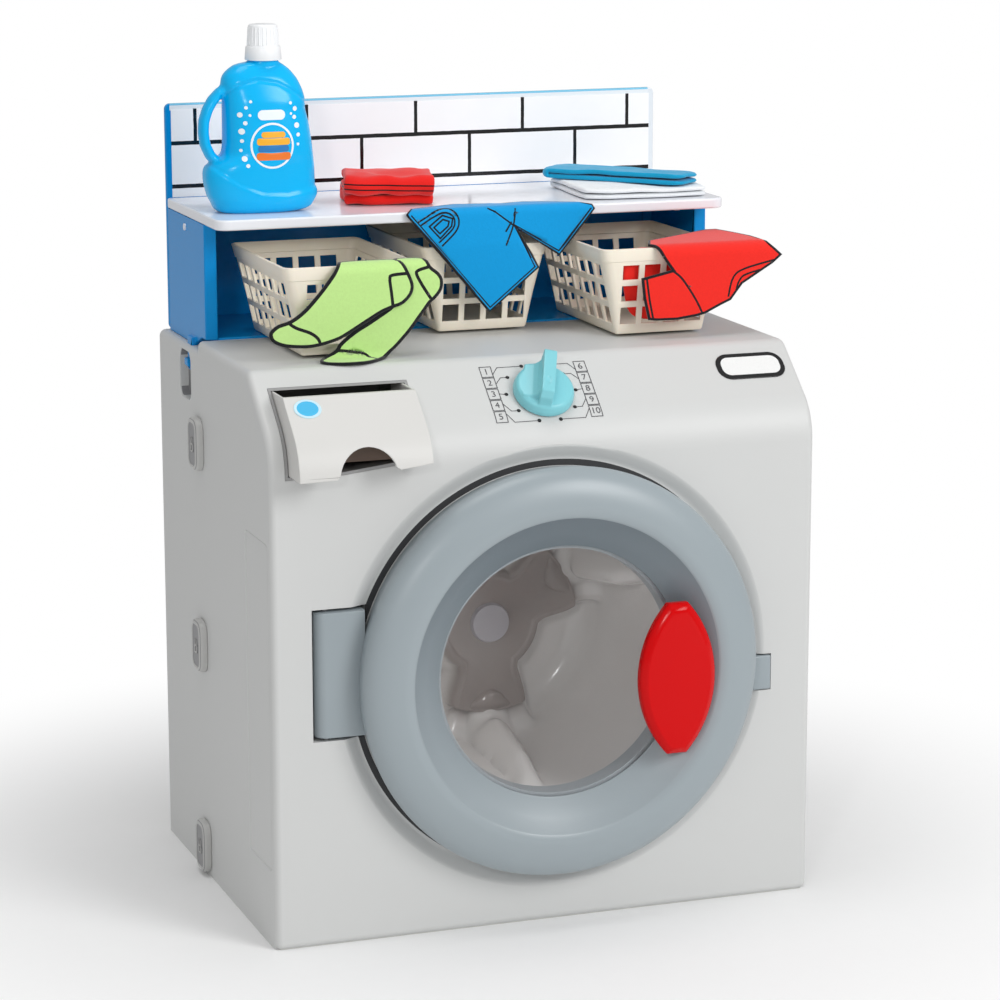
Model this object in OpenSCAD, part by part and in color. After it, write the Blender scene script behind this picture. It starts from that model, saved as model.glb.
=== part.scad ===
// Toy washing machine with a shelf unit on its back, three lattice baskets and play laundry.
// Millimetres. +X is the viewer's right, +Y goes to the back and +Z is up.
// The origin is the middle of the cabinet's underside.

/* [Cabinet] */
// Width of the cabinet
cab_w = 480; // [474:1:486]
// Depth of the cabinet
cab_d = 353; // [350:1:356]
// Height of the top in front of the shelf unit
top_z = 476; // [473:1:478]
// Height of the lower deck that carries the shelf unit
deck_z = 467; // [465:1:469]
// Depth of the lower deck from the back
deck_d = 130.5; // [129:0.5:132]
// Depth that the sloped control panel takes off the top
panel_d = 64.5; // [62:0.5:66]
// Slope of the control panel below level
panel_a = 40; // [38:1:42]
// Radius of the roll from the panel into the front
roll_r = 50; // [44:1:54]
// Wall of the mouldings
wall = 3; // [2.5:0.1:3.2]

/* [Door] */
// Door centre, right of the middle
door_x = 5.5; // [3:0.5:7]
// Door centre above the floor
door_z = 220.5; // [219:0.5:222]
// Outer radius of the door ring
door_r = 175; // [173:1:176]
// Radius of the ring's crest
crest_r = 138.5; // [136:0.5:140]
// How far the crest stands proud of the cabinet front
crest_p = 36; // [34:1:40]
// Radius of the visible window
window_r = 107.5; // [106:0.5:108]
// Gap from the door ring to the rim of the shallow dish around it
dish_gap = 12; // [11:1:13]
// Depth of that dish
dish_d = 6; // [5:0.5:6]
// Hinge axis, left of the middle
hinge_x = 193; // [192:1:194]

/* [Drum] */
// Inner radius of the tub housing
tub_r = 131; // [130:1:132]
// Gap between the drum and the tub housing
drum_gap = 2; // [1.5:0.1:2.5]
// Depth of the tub housing behind the cabinet front
tub_d = 226.5; // [224:0.5:228]
// Radius of the axle
axle_r = 5; // [4.5:0.1:5.5]
// Turn of the three arms of the raised hub plate
arm_turn = 40; // [30:1:50]

/* [Controls] */
// Dial centre, right of the middle
dial_x = 5.5; // [0:0.5:10]
// Dial centre down the panel from its top edge
dial_s = 43.5; // [40:0.5:45]
// Radius of the dial's foot
dial_r = 26; // [24:0.5:28]
// Radius of the ring of dots
dots_r = 31.5; // [30:0.5:33]
// Middle of the detergent drawer, left of the middle
drawer_x = 167; // [165:1:169]
// How far the drawer stands out at rest
drawer_out = 29.5; // [20:0.5:31]

/* [Shelf unit] */
// Half width of the shelf unit
unit_x = 232; // [230:0.5:233]
// Top of the shelf board
shelf_z = 585; // [582:1:588]
// Depth of the shelf board from the back panel
shelf_d = 170; // [165:1:170]
// Top of the back panel
back_z = 668; // [660:1:675]

/* [Baskets] */
// Width of a basket's rim
rim_w = 115; // [112:1:116]
// Length of a basket's rim
rim_l = 170; // [166:1:170]
// Width of a basket's bottom
foot_w = 81; // [78:1:84]
// Length of a basket's bottom
foot_l = 146; // [142:1:150]
// Height of a basket
basket_h = 76; // [72:1:78]

/* [Laundry] */
// Thickness of the felt clothes
felt_t = 2; // [1.6:0.1:2.2]
// Thickness of the bottle from front to back
bottle_t = 52; // [48:1:54]

/* [Hidden] */
$fn = 96;
front_y = -cab_d / 2;
back_y = cab_d / 2;
crease_y = front_y + panel_d;
step_y = back_y - deck_d;
side_x = cab_w / 2;
inner_x = side_x - wall;
dish_r = door_r + dish_gap;
drum_r = tub_r - drum_gap;
door_gap = 1;                       // between the door's back and the dish
door_back = -dish_d + door_gap;     // proud distance of the door's back face
liner_y = front_y + dish_d + wall;  // back of the wall behind the dish
clip_y = 44;
clip_z = [26, 208.5, 387.5];
board_t = 9;
base_top = 478;
panel_y = 170.5;                    // front of the blue back panel
arm_angles = [arm_turn, arm_turn + 120, arm_turn + 240];
basket_x = [-140, 7, 146];
basket_y = [3, 83, 16];
basket_z = base_top + 0.4;
bottle_at = [-178, 58];
clear = 0.3;

CABINET = ["cabinet_shell", "rear_cover", "base_panel", "side_clips", "drawer_housing"];
WASH = ["tub_housing", "tub_screws", "drum", "drum_hub_cap", "drum_axle", "axle_retainer"];
DOOR = ["door_ring", "door_back_ring", "door_window", "door_handle", "door_screws", "hinge_pins", "latch_catch"];
PANEL = ["dial_knob", "dial_shaft", "dial_marks", "rotary_switch", "sound_box", "circuit_board", "speaker",
         "front_badge", "drawer_front", "drawer_tray", "drawer_badge"];
POWER = ["battery_box", "battery_cells", "battery_door", "battery_screw"];
SHELF = ["unit_base", "unit_side_left", "unit_side_right", "back_panel", "tile_panel", "shelf_board", "shelf_rivets"];
GOODS = ["basket_left", "basket_middle", "basket_right", "bottle", "bottle_cap", "bottle_label",
         "folded_red", "folded_white", "folded_turquoise", "sock_front", "sock_rear", "trousers", "tshirt"];

GREY = [0.80, 0.80, 0.79];
SHADE = [0.66, 0.67, 0.68];
STEEL_BLUE = [0.55, 0.62, 0.66];
DRUM = [0.60, 0.60, 0.60];
AQUA = [0.50, 0.80, 0.84];
BLUE = [0.0, 0.50, 0.83];
CREAM = [0.94, 0.90, 0.83];
RED = [0.86, 0.05, 0.05];
DARK = [0.2, 0.2, 0.22];

// Shared shapes

function arc(c, r, a0, a1, n = 8) = [for (i = [0:n]) let (a = a0 + (a1 - a0) * i / n) c + r * [cos(a), sin(a)]];

// Side view of the cabinet as (y, z), inset by t; an open one runs on through the back and the floor.
function side_view(t, open = false) =
    let (corner_z = top_z - (crease_y - front_y) * tan(panel_a),
         roll = [front_y + roll_r, corner_z - roll_r * tan((90 - panel_a) / 2)],
         crease_r = 14,
         crease = [crease_y + crease_r * tan(panel_a / 2), top_z - crease_r],
         foot_r = 6)
    concat(open ? [[back_y + 1, -1], [front_y + t, -1]]
                : concat([[back_y - t, t]], arc([front_y + foot_r, foot_r], foot_r - t, 270, 180, 4)),
           arc(roll, roll_r - t, 180, 90 + panel_a, 10),
           arc(crease, crease_r - t, 90 + panel_a, 90, 6),
           [[step_y - t, top_z - t], [step_y - t, deck_z - t]],
           [[open ? back_y + 1 : back_y - t, deck_z - t]]);

// Extrudes a (y, z) outline along X, evenly about the middle.
module along_x(w) rotate([90, 0, 90]) linear_extrude(w, center = true) children();

// Plan with round front corners, inset by t and running on through the back by more.
corner_r = 6;
module plan(t, more = 0) translate([0, more / 2]) difference() {
    square([cab_w - 2 * t, cab_d - 2 * t + more], center = true);
    for (i = [-1, 1]) translate([i * (side_x - corner_r), front_y - more / 2 + corner_r]) difference() {
        translate([i * corner_r, -corner_r]) square(2 * corner_r, center = true);
        circle(corner_r - t);
    }
}

module cabinet_solid() intersection() {
    along_x(cab_w) polygon(side_view(0));
    linear_extrude(top_z) plan(0);
}

// A round solid on the door's axis, from y0 back to y1.
module door_disc(y0, y1, r) translate([door_x, y0, door_z]) rotate([-90, 0, 0]) cylinder(r = r, h = y1 - y0);

// Places a shape on the door's axis with its Z standing proud of the cabinet front.
module proud() translate([door_x, front_y, door_z]) rotate([90, 0, 0]) children();

// Places a shape on the control panel: x across, s down the slope, its Z out of the panel.
module on_panel(x, s) translate([x, crease_y - s * cos(panel_a), top_z - s * sin(panel_a)])
    rotate([panel_a, 0, 0]) children();

module block(x, y, z) translate([x[0], y[0], z[0]]) cube([x[1] - x[0], y[1] - y[0], z[1] - z[0]]);

module rounded(w, h, r) {
    square([w - 2 * r, h], center = true);
    square([w, h - 2 * r], center = true);
    for (i = [-1, 1], j = [-1, 1]) translate([i * (w / 2 - r), j * (h / 2 - r)]) circle(r);
}

module both_sides() { children(); mirror([1, 0, 0]) children(); }

// Cabinet

pocket_y = 88;
pocket_z = 441;
hook_y = [80, 96];
latch_x = door_x + 190;
latch_z = 199.5;
hinge_y = front_y + 7.5;
arm_z = [178.5, 285];
recess_z = [arm_z[0] - 2.5, arm_z[1] + 2.5];
drawer_z = [396.5, 463.4];
drawer_half = 59.5;
drawer_t = 2.4;                     // wall of the drawer's housing
face_gap = drawer_t + 0.6;
cheek_x = drawer_half - face_gap - 2.5;

// Front view of the drawer's opening about its middle as (x, z), inset by t. Its bottom rises to the right
// and so stays clear of the dish.
function drawer_view(t) = let (z = drawer_z[0] + t, top = drawer_z[1] - 0.7 * t)
    [[-drawer_half + t, z], [-14, z + 1], [drawer_half - t, z + 9], [drawer_half - t, top], [-drawer_half + t, top]];

// Turns a front view (x, z) about the drawer's middle into a solid from y0 back to y1.
module front_view(y0, y1) translate([-drawer_x, y1, 0]) rotate([90, 0, 0]) linear_extrude(y1 - y0) children();

module drawer_prism(t, y0, y1) front_view(y0, y1) polygon(drawer_view(t));

module hinge_recess(grow) block([-hinge_x - 13 - grow, -158 + grow], [front_y - 1, -152 + grow],
                                [recess_z[0] - grow, recess_z[1] + grow]);

module cabinet_shell() color(GREY) difference() {
    union() {
        difference() {
            cabinet_solid();
            intersection() {
                along_x(cab_w - 2 * wall) polygon(side_view(wall, true));
                translate([0, 0, -2]) linear_extrude(top_z + 4) plan(wall, 20);
            }
        }
        both_sides() block([unit_x - 2.5, inner_x + 0.5], [pocket_y - 23, pocket_y + 23],
                           [pocket_z - 24, deck_z - wall + 0.5]);
        intersection() {
            cabinet_solid();
            union() {
                door_disc(front_y + 0.5, liner_y, dish_r + wall);
                hinge_recess(wall);
                block([latch_x - 13, latch_x + 13], [front_y + 0.5, liner_y], [latch_z - 22, latch_z + 22]);
            }
        }
    }
    proud() translate([0, 0, -dish_d]) cylinder(r1 = dish_r - 7, r2 = dish_r, h = dish_d);
    proud() cylinder(r = dish_r, h = 2);
    door_disc(front_y - 1, front_y + 30, tub_r - 5);
    hinge_recess(0);
    block([latch_x - 20, latch_x + 7.2], [front_y - 1, front_y + dish_d], [latch_z - 15.9, latch_z + 15.9]);
    translate([latch_x, front_y, latch_z]) rotate([-90, 0, 0]) cylinder(r = 4.2, h = 20);
    translate([-hinge_x, hinge_y, recess_z[0] - 10]) cylinder(r = 3.05, h = 140);
    drawer_prism(0, front_y - 1, crease_y + 8);
    on_panel(dial_x, dial_s) translate([0, 0, -10]) cylinder(r = 4.6, h = 20);
    for (k = [0:5]) proud() rotate(30 + 60 * k) translate([tub_r + 11, 0, -liner_y + front_y])
        cylinder(r = 1.65, h = 2.5);
    translate([-side_x, -133, 204]) along_x(1.6) rounded(68, 276, 5);
    both_sides() {
        translate([side_x, pocket_y, pocket_z]) along_x(17) rounded(38, 42, 9);
        block([unit_x - 0.3, inner_x + 0.2], [hook_y[0] - 1, hook_y[1] + 1], [pocket_z, deck_z + 5]);
        for (z = clip_z) translate([side_x - 10, clip_y, z]) rotate([0, 90, 0]) cylinder(r = 6.1, h = 20);
    }
}

battery_x = [78, 152];
battery_z = [258, 322];

module rear_cover() color(SHADE) {
    difference() {
        block([-inner_x + clear, inner_x - clear], [back_y - wall, back_y], [wall + clear, deck_z - wall - clear]);
        block([battery_x[0] - 0.5, battery_x[1] + 0.5], [back_y - 5, back_y + 1],
              [battery_z[0] - 0.5, battery_z[1] + 0.5]);
        for (k = [0:4]) block([-150, -60], [back_y - 5, back_y + 1], [250 + 14 * k, 254 + 14 * k]);
    }
    both_sides() difference() {
        block([inner_x - clear - 2.5, inner_x - clear], [25, back_y - wall], [wall + clear, 412]);
        for (z = clip_z) translate([inner_x - 10, clip_y, z]) rotate([0, 90, 0]) cylinder(r = 6.1, h = 20);
    }
}

module base_panel() color(SHADE) {
    linear_extrude(wall) plan(wall + clear);
    difference() {
        block([-230, 230], [front_y + 8, back_y - 8], [wall, 10]);
        block([-227, 227], [front_y + 11, back_y - 11], [wall, 11]);
    }
}

// Snap clips that hold the cabinet's sides to the flanges of the rear cover.
module side_clips() color(GREY) both_sides() for (z = clip_z) translate([side_x, clip_y, z]) {
    translate([4, 0, 0]) along_x(8) rounded(31, 46, 11);
    translate([-5.8, 0, 0]) rotate([0, 90, 0]) cylinder(r = 6, h = 6);
    translate([-8.3, 0, 0]) rotate([0, 90, 0]) cylinder(r = 8.5, h = 2.5);
}

module drawer_housing() color(SHADE) difference() {
    intersection() {
        cabinet_solid();
        drawer_prism(0, front_y, -57);
    }
    drawer_prism(drawer_t, front_y - 1, -60);
}

// Tub and drum

module tub_housing() color(SHADE) difference() {
    union() {
        door_disc(liner_y, liner_y + 3, tub_r + 21);
        door_disc(liner_y, front_y + tub_d, tub_r + 2.5);
        door_disc(liner_y, front_y + tub_d + 16, 14);
    }
    door_disc(liner_y - 1, front_y + tub_d - 3, tub_r);
    door_disc(0, 100, axle_r + 0.05);
    for (k = [0:5]) proud() rotate(30 + 60 * k) translate([tub_r + 11, 0, -20]) cylinder(r = 1.8, h = 20);
}

module tub_screws() color(DARK) for (k = [0:5]) proud() rotate(30 + 60 * k) translate([tub_r + 11, 0, front_y - liner_y]) {
    translate([0, 0, -5.2]) cylinder(r = 3.6, h = 2.2);
    translate([0, 0, -3]) cylinder(r = 1.6, h = 5.2);
}

drum_front = -17;   // proud distances along the drum
drum_floor = -196.5;
hub_front = -164.5;

function drum_view(t) = concat([[0, drum_floor - 2.5 + t]],
    arc([drum_r - 35 - t, drum_floor + 10], 12.5 - (t > 0 ? 2.5 : 0), -90, -6, 6),
    [[drum_r - t, drum_front - 4], [drum_r - t, drum_front], [0, drum_front]]);

module arms(g) {
    circle(40 - g);
    for (a = arm_angles) rotate(a) polygon([[0, 22 - g], [60, 19 - g], [104, 30 - g], [104, g - 30],
                                            [60, g - 19], [0, g - 22]]);
}

module drum() color(DRUM) proud() difference() {
    union() {
        difference() {
            rotate_extrude() polygon(drum_view(0));
            rotate_extrude() polygon([for (p = drum_view(2.5)) p[1] >= drum_front ? [p[0], p[1] + 1] : p]);
        }
        intersection() {
            rotate_extrude() polygon(drum_view(0));
            union() {
                translate([0, 0, drum_floor]) linear_extrude(hub_front - drum_floor) difference() {
                    arms(0);
                    arms(2.5);
                }
                translate([0, 0, hub_front - 2.5]) linear_extrude(2.5) arms(0);
                translate([0, 0, drum_floor]) cylinder(r = 12, h = hub_front - drum_floor);
                for (a = arm_angles) rotate(a) translate([92, 0, -185]) rotate([0, 10, 0])
                    cylinder(r1 = 20, r2 = 9, h = 125);
            }
        }
    }
    translate([0, 0, -230]) cylinder(r = axle_r + 0.05, h = 100);
}

module drum_hub_cap() color(DRUM) proud() translate([0, 0, hub_front]) cylinder(r1 = 18, r2 = 16.5, h = 4);

module drum_axle() color(DARK) door_disc(front_y - hub_front + 0.2, front_y + tub_d + 28, axle_r);

// Push-on ring that keeps the axle in the tub's boss.
module axle_retainer() color(DARK) difference() {
    door_disc(front_y + tub_d + 17, front_y + tub_d + 21, 11);
    door_disc(front_y + tub_d, front_y + tub_d + 40, axle_r + 0.02);
}

// Door

// The ring's outside as (radius, proud), from its back edge over the crest to the window.
ring_side = 16;
ring_foot = door_r - 4;
function ring_outside(t) = concat([[ring_foot - t, door_back]],
    [for (a = [0:9:90]) [crest_r + (door_r - crest_r - t) * cos(a), ring_side + (crest_p - ring_side - t) * sin(a)]],
    [[window_r + (t > 0 ? t + 0.5 : 0), 15 - (t > 0 ? 1 : 0)]]);

function backwards(v) = [for (i = [len(v) - 1:-1:0]) v[i]];

screw_r = 158;
module ring_filled() rotate_extrude() polygon(concat(ring_outside(0), [[window_r, door_back]]));

module door_ring() color(STEEL_BLUE) difference() {
    union() {
        proud() rotate_extrude() polygon(concat(ring_outside(0), [[window_r, 14]], backwards(ring_outside(wall))));
        difference() {
            union() {
                block([-hinge_x, -163], [hinge_y - 10, hinge_y + 9], arm_z);
                translate([-hinge_x, hinge_y, arm_z[0]]) cylinder(r = 10, h = arm_z[1] - arm_z[0]);
                block([door_x + 160, latch_x + 6], [front_y - 2.5, front_y + 4.5], [latch_z - 14.8, latch_z + 14.8]);
            }
            door_disc(front_y - 60, front_y - door_back + 0.2, ring_foot - 1);
        }
        for (k = [0:5]) proud() rotate(60 * k) translate([screw_r, 0, door_back + 2.5]) cylinder(r = 4.5, h = 31);
    }
    translate([-hinge_x, hinge_y, arm_z[0] - 1]) cylinder(r = 3.02, h = 18);
    translate([-hinge_x, hinge_y, arm_z[1] - 17]) cylinder(r = 3.02, h = 18);
    for (k = [0:5]) proud() rotate(60 * k) translate([screw_r, 0, door_back]) cylinder(r = 1.65, h = 20);
}

module door_back_ring() color(STEEL_BLUE) proud() difference() {
    rotate_extrude() polygon([[104, door_back], [ring_foot - wall - clear, door_back],
        [ring_foot - wall - clear, door_back + 2.5], [109.5, door_back + 2.5], [109.5, 11.2], [105, 11.2]]);
    for (k = [0:5]) rotate(60 * k) translate([screw_r, 0, door_back - 1]) {
        cylinder(r = 1.7, h = 10);
        cylinder(r = 3.5, h = 2.7);
    }
}

module door_window() color([0.9, 0.95, 1, 0.3]) proud() translate([0, 0, 11.3]) cylinder(r = 109.8, h = 2.5);

// Lens-shaped handle with cut tips; a stem behind it stands on the ring.
handle_at = [95.2, -8.5];
handle_half = 34;
lens_r = 96;
module door_handle() color(RED) proud() difference() {
    union() {
        translate([handle_at[0], handle_at[1], 30]) linear_extrude(12) intersection() {
            translate([handle_half - lens_r, 0]) circle(lens_r);
            translate([lens_r - handle_half, 0]) circle(lens_r);
            square([80, 130], center = true);
        }
        translate([113, handle_at[1] - 22, 14]) cube([14, 44, 20]);
    }
    ring_filled();
}

module door_screws() color(DARK) for (k = [0:5]) proud() rotate(60 * k) translate([screw_r, 0, door_back]) {
    cylinder(r = 3.2, h = 1.6);
    cylinder(r = 1.6, h = 16);
}

module hinge_pins() color(DARK) translate([-hinge_x, hinge_y, 0]) {
    translate([0, 0, arm_z[0] - 5]) cylinder(r = 3, h = 20);
    translate([0, 0, arm_z[1] - 15]) cylinder(r = 3, h = 20);
}

// Round-nosed catch that presses on the back of the door's tab.
module latch_catch() color(SHADE) {
    translate([latch_x, front_y + 4.5 + clear + 4, latch_z]) sphere(r = 4);
    translate([latch_x, front_y + 8.8, latch_z]) rotate([-90, 0, 0]) cylinder(r = 4, h = 6);
    block([latch_x - 10, latch_x + 10], [liner_y, liner_y + 10], [latch_z - 12, latch_z + 12]);
}

// Controls

module dial_knob() color(AQUA) on_panel(dial_x, dial_s) translate([0, 0, 0.6]) difference() {
    union() {
        cylinder(r1 = dial_r, r2 = dial_r - 2.5, h = 10.5);
        translate([-6, 0, 0]) rotate([90, 0, 90]) linear_extrude(12)
            polygon([[-24, 0], [26, 0], [26.5, 26], [22, 27], [-17, 24], [-21, 18]]);
    }
    translate([0, 0, -1]) cylinder(r = 4.03, h = 10);
}

module dial_shaft() color(DARK) on_panel(dial_x, dial_s) translate([0, 0, -28]) cylinder(r = 4, h = 37);

module rotary_switch() color(DARK) on_panel(dial_x, dial_s) difference() {
    translate([-14, -14, -30]) cube([28, 28, 14]);
    translate([0, 0, -28.2]) cylinder(r = 4.05, h = 20);
}

// Printed dots that follow the panel and the start of the roll.
module dial_marks() color(DARK) difference() {
    intersection() {
        on_panel(dial_x, dial_s) for (k = [0:9]) rotate(18 + 36 * k) translate([0, dots_r, -6]) cylinder(r = 1.7, h = 12);
        translate(0.3 * [0, -sin(panel_a), cos(panel_a)]) cabinet_solid();
    }
    cabinet_solid();
}

module sound_box() color(SHADE) on_panel(dial_x, dial_s) {
    for (x = [-36, 60], y = [-20, 26]) translate([x, y, -43]) cylinder(r = 3, h = 8.4);
    difference() {
    translate([-48, -28, -44]) cube([118, 62, 37]);
    translate([-46, -26, -42]) cube([114, 58, 33]);
    translate([0, 0, -20]) cylinder(r = 5, h = 20);
    for (i = [-2:2]) translate([45 + 6 * i, 0, -10]) cylinder(r = 1.8, h = 5);
    }
}

module circuit_board() color([0.1, 0.4, 0.2]) on_panel(dial_x, dial_s) translate([-40, -24, -34.6]) cube([104, 54, 1.6]);

module speaker() color(DARK) on_panel(dial_x, dial_s) translate([45, 3, -28]) {
    cylinder(r = 10, h = 8);
    translate([0, 0, 8]) cylinder(r1 = 10, r2 = 19, h = 10.8);
}

module front_badge() color([0.93, 0.94, 0.94]) on_panel(198.5, 28) translate([0, 0, 0.02]) linear_extrude(0.8) rounded(62, 28, 12);

// The drawer's face keeps the cabinet's own side view, moved out by y. An arch with flared feet is cut out
// of it below, and two side walls run back from it.
module face_solid(out) translate([0, -out, 0]) cabinet_solid();

arch_x = 2;
arch = let (left = drawer_z[0] + face_gap, right = left + 6)
    concat([[arch_x - 29.5, left - 20]], arc([arch_x - 29.5, left + 5], 5, 270, 360, 4),
           arc([arch_x, drawer_z[0] + 3.5], 24.5, 169, 25, 14), arc([arch_x + 27.1, right + 5], 5, 180, 270, 4),
           [[arch_x + 27.1, left - 20]]);

module drawer_front() color(GREY) difference() {
    intersection() {
        face_solid(drawer_out + 2);
        drawer_prism(face_gap, front_y - drawer_out - 5, -100);
    }
    intersection() {
        face_solid(drawer_out - 2);
        block([-drawer_x - cheek_x - 0.3, -drawer_x + cheek_x + 0.3], [front_y - drawer_out, 0], [380, 480]);
    }
    front_view(front_y - drawer_out - 6, front_y - drawer_out + 20) polygon(arch);
}

module drawer_tray() color(SHADE) translate([0, 8 - drawer_out, 0]) {
    difference() {
        block([-drawer_x - cheek_x, -drawer_x + cheek_x], [-156, -79], [drawer_z[0] + 12, 440]);
        block([-drawer_x - cheek_x + 2, -drawer_x + cheek_x - 2], [-154, -81], [drawer_z[0] + 14, 441]);
    }
    for (x = [-drawer_x - cheek_x, -drawer_x + cheek_x - 2]) difference() {
        block([x, x + 2], [front_y - 10, -154], [drawer_z[0] + 12.5, 430]);
        difference() {
            block([x - 1, x + 3], [front_y - 11, -100], [drawer_z[0], 440]);
            face_solid(6);
        }
    }
}

module drawer_badge() color([0.16, 0.71, 0.90]) translate([0, -drawer_out - 2, 0]) on_panel(-205.6, 36)
    translate([0, 0, 0.02]) cylinder(r = 11.5, h = 0.6);

// Power

module battery_box() color(SHADE) difference() {
    union() {
        difference() {
            block([battery_x[0] - 2, battery_x[1] + 2], [154, back_y - wall], [battery_z[0] - 2, battery_z[1] + 2]);
            block([battery_x[0] + 1, battery_x[1] - 1], [156, back_y], [battery_z[0] + 1, battery_z[1] - 1]);
        }
        translate([146, 155, 290]) rotate([-90, 0, 0]) cylinder(r = 3.6, h = back_y - wall - 155);
    }
    translate([146, 158, 290]) rotate([-90, 0, 0]) cylinder(r = 1.65, h = 30);
}

module battery_cells() color([0.75, 0.6, 0.25]) for (k = [0:2]) translate([89 + 17 * k, 163.2, 264]) {
    cylinder(r = 7.1, h = 49);
    translate([0, 0, 49]) cylinder(r = 2.7, h = 1.5);
}

module battery_door() color(SHADE) difference() {
    block(battery_x, [back_y - wall + 0.05, back_y - 0.5], battery_z);
    translate([146, 150, 290]) rotate([-90, 0, 0]) cylinder(r = 1.7, h = 40);
}

module battery_screw() color(DARK) translate([146, 160, 290]) rotate([-90, 0, 0]) {
    cylinder(r = 1.6, h = back_y - 0.5 - 160);
    translate([0, 0, back_y - 0.5 - 160]) cylinder(r = 3, h = 1.6);
}

// Shelf unit

side_front = step_y - 1;
module unit_base() color(BLUE) difference() {
    block([-unit_x + 11.3, unit_x - 11.3], [step_y, panel_y - 0.4], [deck_z, base_top]);
    block([-unit_x + 14, unit_x - 14], [step_y + 3, panel_y - 3], [deck_z - 1, base_top - 3]);
}

// Side wall as a channel open to the inside, with the hook that snaps into the cabinet's side slot.
module unit_side() color(BLUE) {
    difference() {
        translate([unit_x - 5.5, 0, 0]) along_x(11) polygon([[side_front, shelf_z - board_t],
            [panel_y - 0.4, shelf_z - board_t], [panel_y - 0.4, deck_z], [86, deck_z], [60, top_z + 0.5],
            [side_front, top_z + 0.5]]);
        block([unit_x - 12, unit_x - 2.5], [side_front + 2.5, panel_y - 3], [top_z + 3, shelf_z - board_t - 2.5]);
        translate([unit_x - 10, 108, 567]) rotate([0, 90, 0]) cylinder(r = 1.6, h = 20);
        block([unit_x - 7.3, unit_x - 2.5], [98.7, 117.3], [shelf_z - board_t - 3, shelf_z - board_t + 1]);
    }
    block([unit_x - 3, unit_x + 3.3], hook_y, [deck_z, deck_z + 7]);
    block([unit_x + 0.3, unit_x + 3.3], hook_y, [444, deck_z + 1]);
    block([unit_x + 3.2, side_x - 1], [hook_y[0] + 2, hook_y[1] - 2], [448, 455]);
}
module unit_side_right() unit_side();
module unit_side_left() mirror([1, 0, 0]) unit_side();

module back_panel() color(BLUE) translate([0, panel_y, 0]) rotate([90, 0, 0]) translate([0, 0, -6]) difference() {
    linear_extrude(6) translate([0, (deck_z + back_z) / 2]) rounded(2 * unit_x, back_z - deck_z - 0.1, 5);
    translate([0, 0, -1]) linear_extrude(4.5) translate([0, (deck_z + back_z) / 2])
        rounded(2 * unit_x - 5, back_z - deck_z - 5, 3);
}

module tile_panel() color([0.96, 0.97, 0.98])
    block([-unit_x + 5, unit_x - 5], [panel_y - 0.4, panel_y], [shelf_z + clear, back_z - 5]);

module shelf_board() color([0.93, 0.94, 0.97]) {
    difference() {
        translate([0, panel_y - 0.4 - shelf_d / 2, shelf_z - board_t]) linear_extrude(board_t) union() {
            rounded(2 * unit_x, shelf_d, 12);
            translate([-unit_x, 0]) square([2 * unit_x, shelf_d / 2]);
        }
        block([-unit_x + 12, unit_x - 12], [panel_y - shelf_d + 10, panel_y - 4],
              [shelf_z - board_t - 1, shelf_z - 3]);
    }
    both_sides() difference() {
        block([unit_x - 7, unit_x - 2.8], [99, 117], [shelf_z - board_t - 14, shelf_z - board_t + 1]);
        translate([unit_x - 10, 108, 567]) rotate([0, 90, 0]) cylinder(r = 1.6, h = 20);
    }
}

module shelf_rivets() color([0.95, 0.97, 1]) both_sides() translate([unit_x, 108, 567]) rotate([0, 90, 0]) {
    cylinder(r = 3, h = 1.2);
    translate([0, 0, -6.5]) cylinder(r = 1.55, h = 6.6);
}

// Baskets

module taper(w0, l0, w1, l1, z0, z1) hull() {
    translate([-w0 / 2, -l0 / 2, z0]) cube([w0, l0, 0.01]);
    translate([-w1 / 2, -l1 / 2, z1 - 0.01]) cube([w1, l1, 0.01]);
}

basket_wall = 2.2;
rows_z = [[9, 24], [29, 43], [48, 61]];
module basket() color(CREAM) difference() {
    taper(foot_w, foot_l, rim_w, rim_l, 0, basket_h);
    taper(foot_w - 4.4, foot_l - 4.4, rim_w - 4.4 + 1, rim_l - 4.4 + 1, basket_wall, basket_h + 1);
    for (z = rows_z) {
        for (i = [-1.5:1.5]) block([i * 20 - 7.5, i * 20 + 7.5], [-rim_l, rim_l], z);
        for (j = [-3:3]) block([-rim_w, rim_w], [j * 20.5 - 8, j * 20.5 + 8], z);
    }
}
module basket_at(i) translate([basket_x[i], basket_y[i], basket_z]) basket();
module basket_left() basket_at(0);
module basket_middle() basket_at(1);
module basket_right() basket_at(2);

// Bottle

neck_z = 127;
bottle_z = shelf_z + clear;
cap_base = 128.5;

// Front views of the bottle about its own middle: the body, the handle's outer edge and its hole.
BODY = [[-31.5, 0], [36, 0], [42, 2], [46, 7], [49.5, 14], [49.3, 17], [47.8, 21], [47.9, 36], [45.7, 55.5],
        [43, 74.5], [39.5, 88], [40.7, 92], [39.9, 95.5], [38, 103], [33.5, 112.5], [26, 121.5], [17, neck_z],
        [-9, neck_z], [-19, 126], [-27, 121.5], [-32, 116], [-33.3, 110], [-29, 98], [-28, 50], [-33, 43],
        [-46, 41.5], [-49.3, 35], [-49, 26], [-46, 13], [-41, 5]];
GRIP = [[-30, 112], [-33.3, 110], [-36, 105.5], [-41.5, 101], [-47.2, 94.5], [-51.2, 85.5], [-53.2, 74],
        [-52.6, 62.7], [-50, 51.5], [-45.3, 41], [-30, 36]];
GRIP_HOLE = [[-26, 97.5], [-34, 96.5], [-40.5, 88.5], [-44.6, 77.5], [-45.4, 66.5], [-43.3, 56.5],
             [-38.3, 51], [-30, 50], [-26, 54]];

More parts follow.
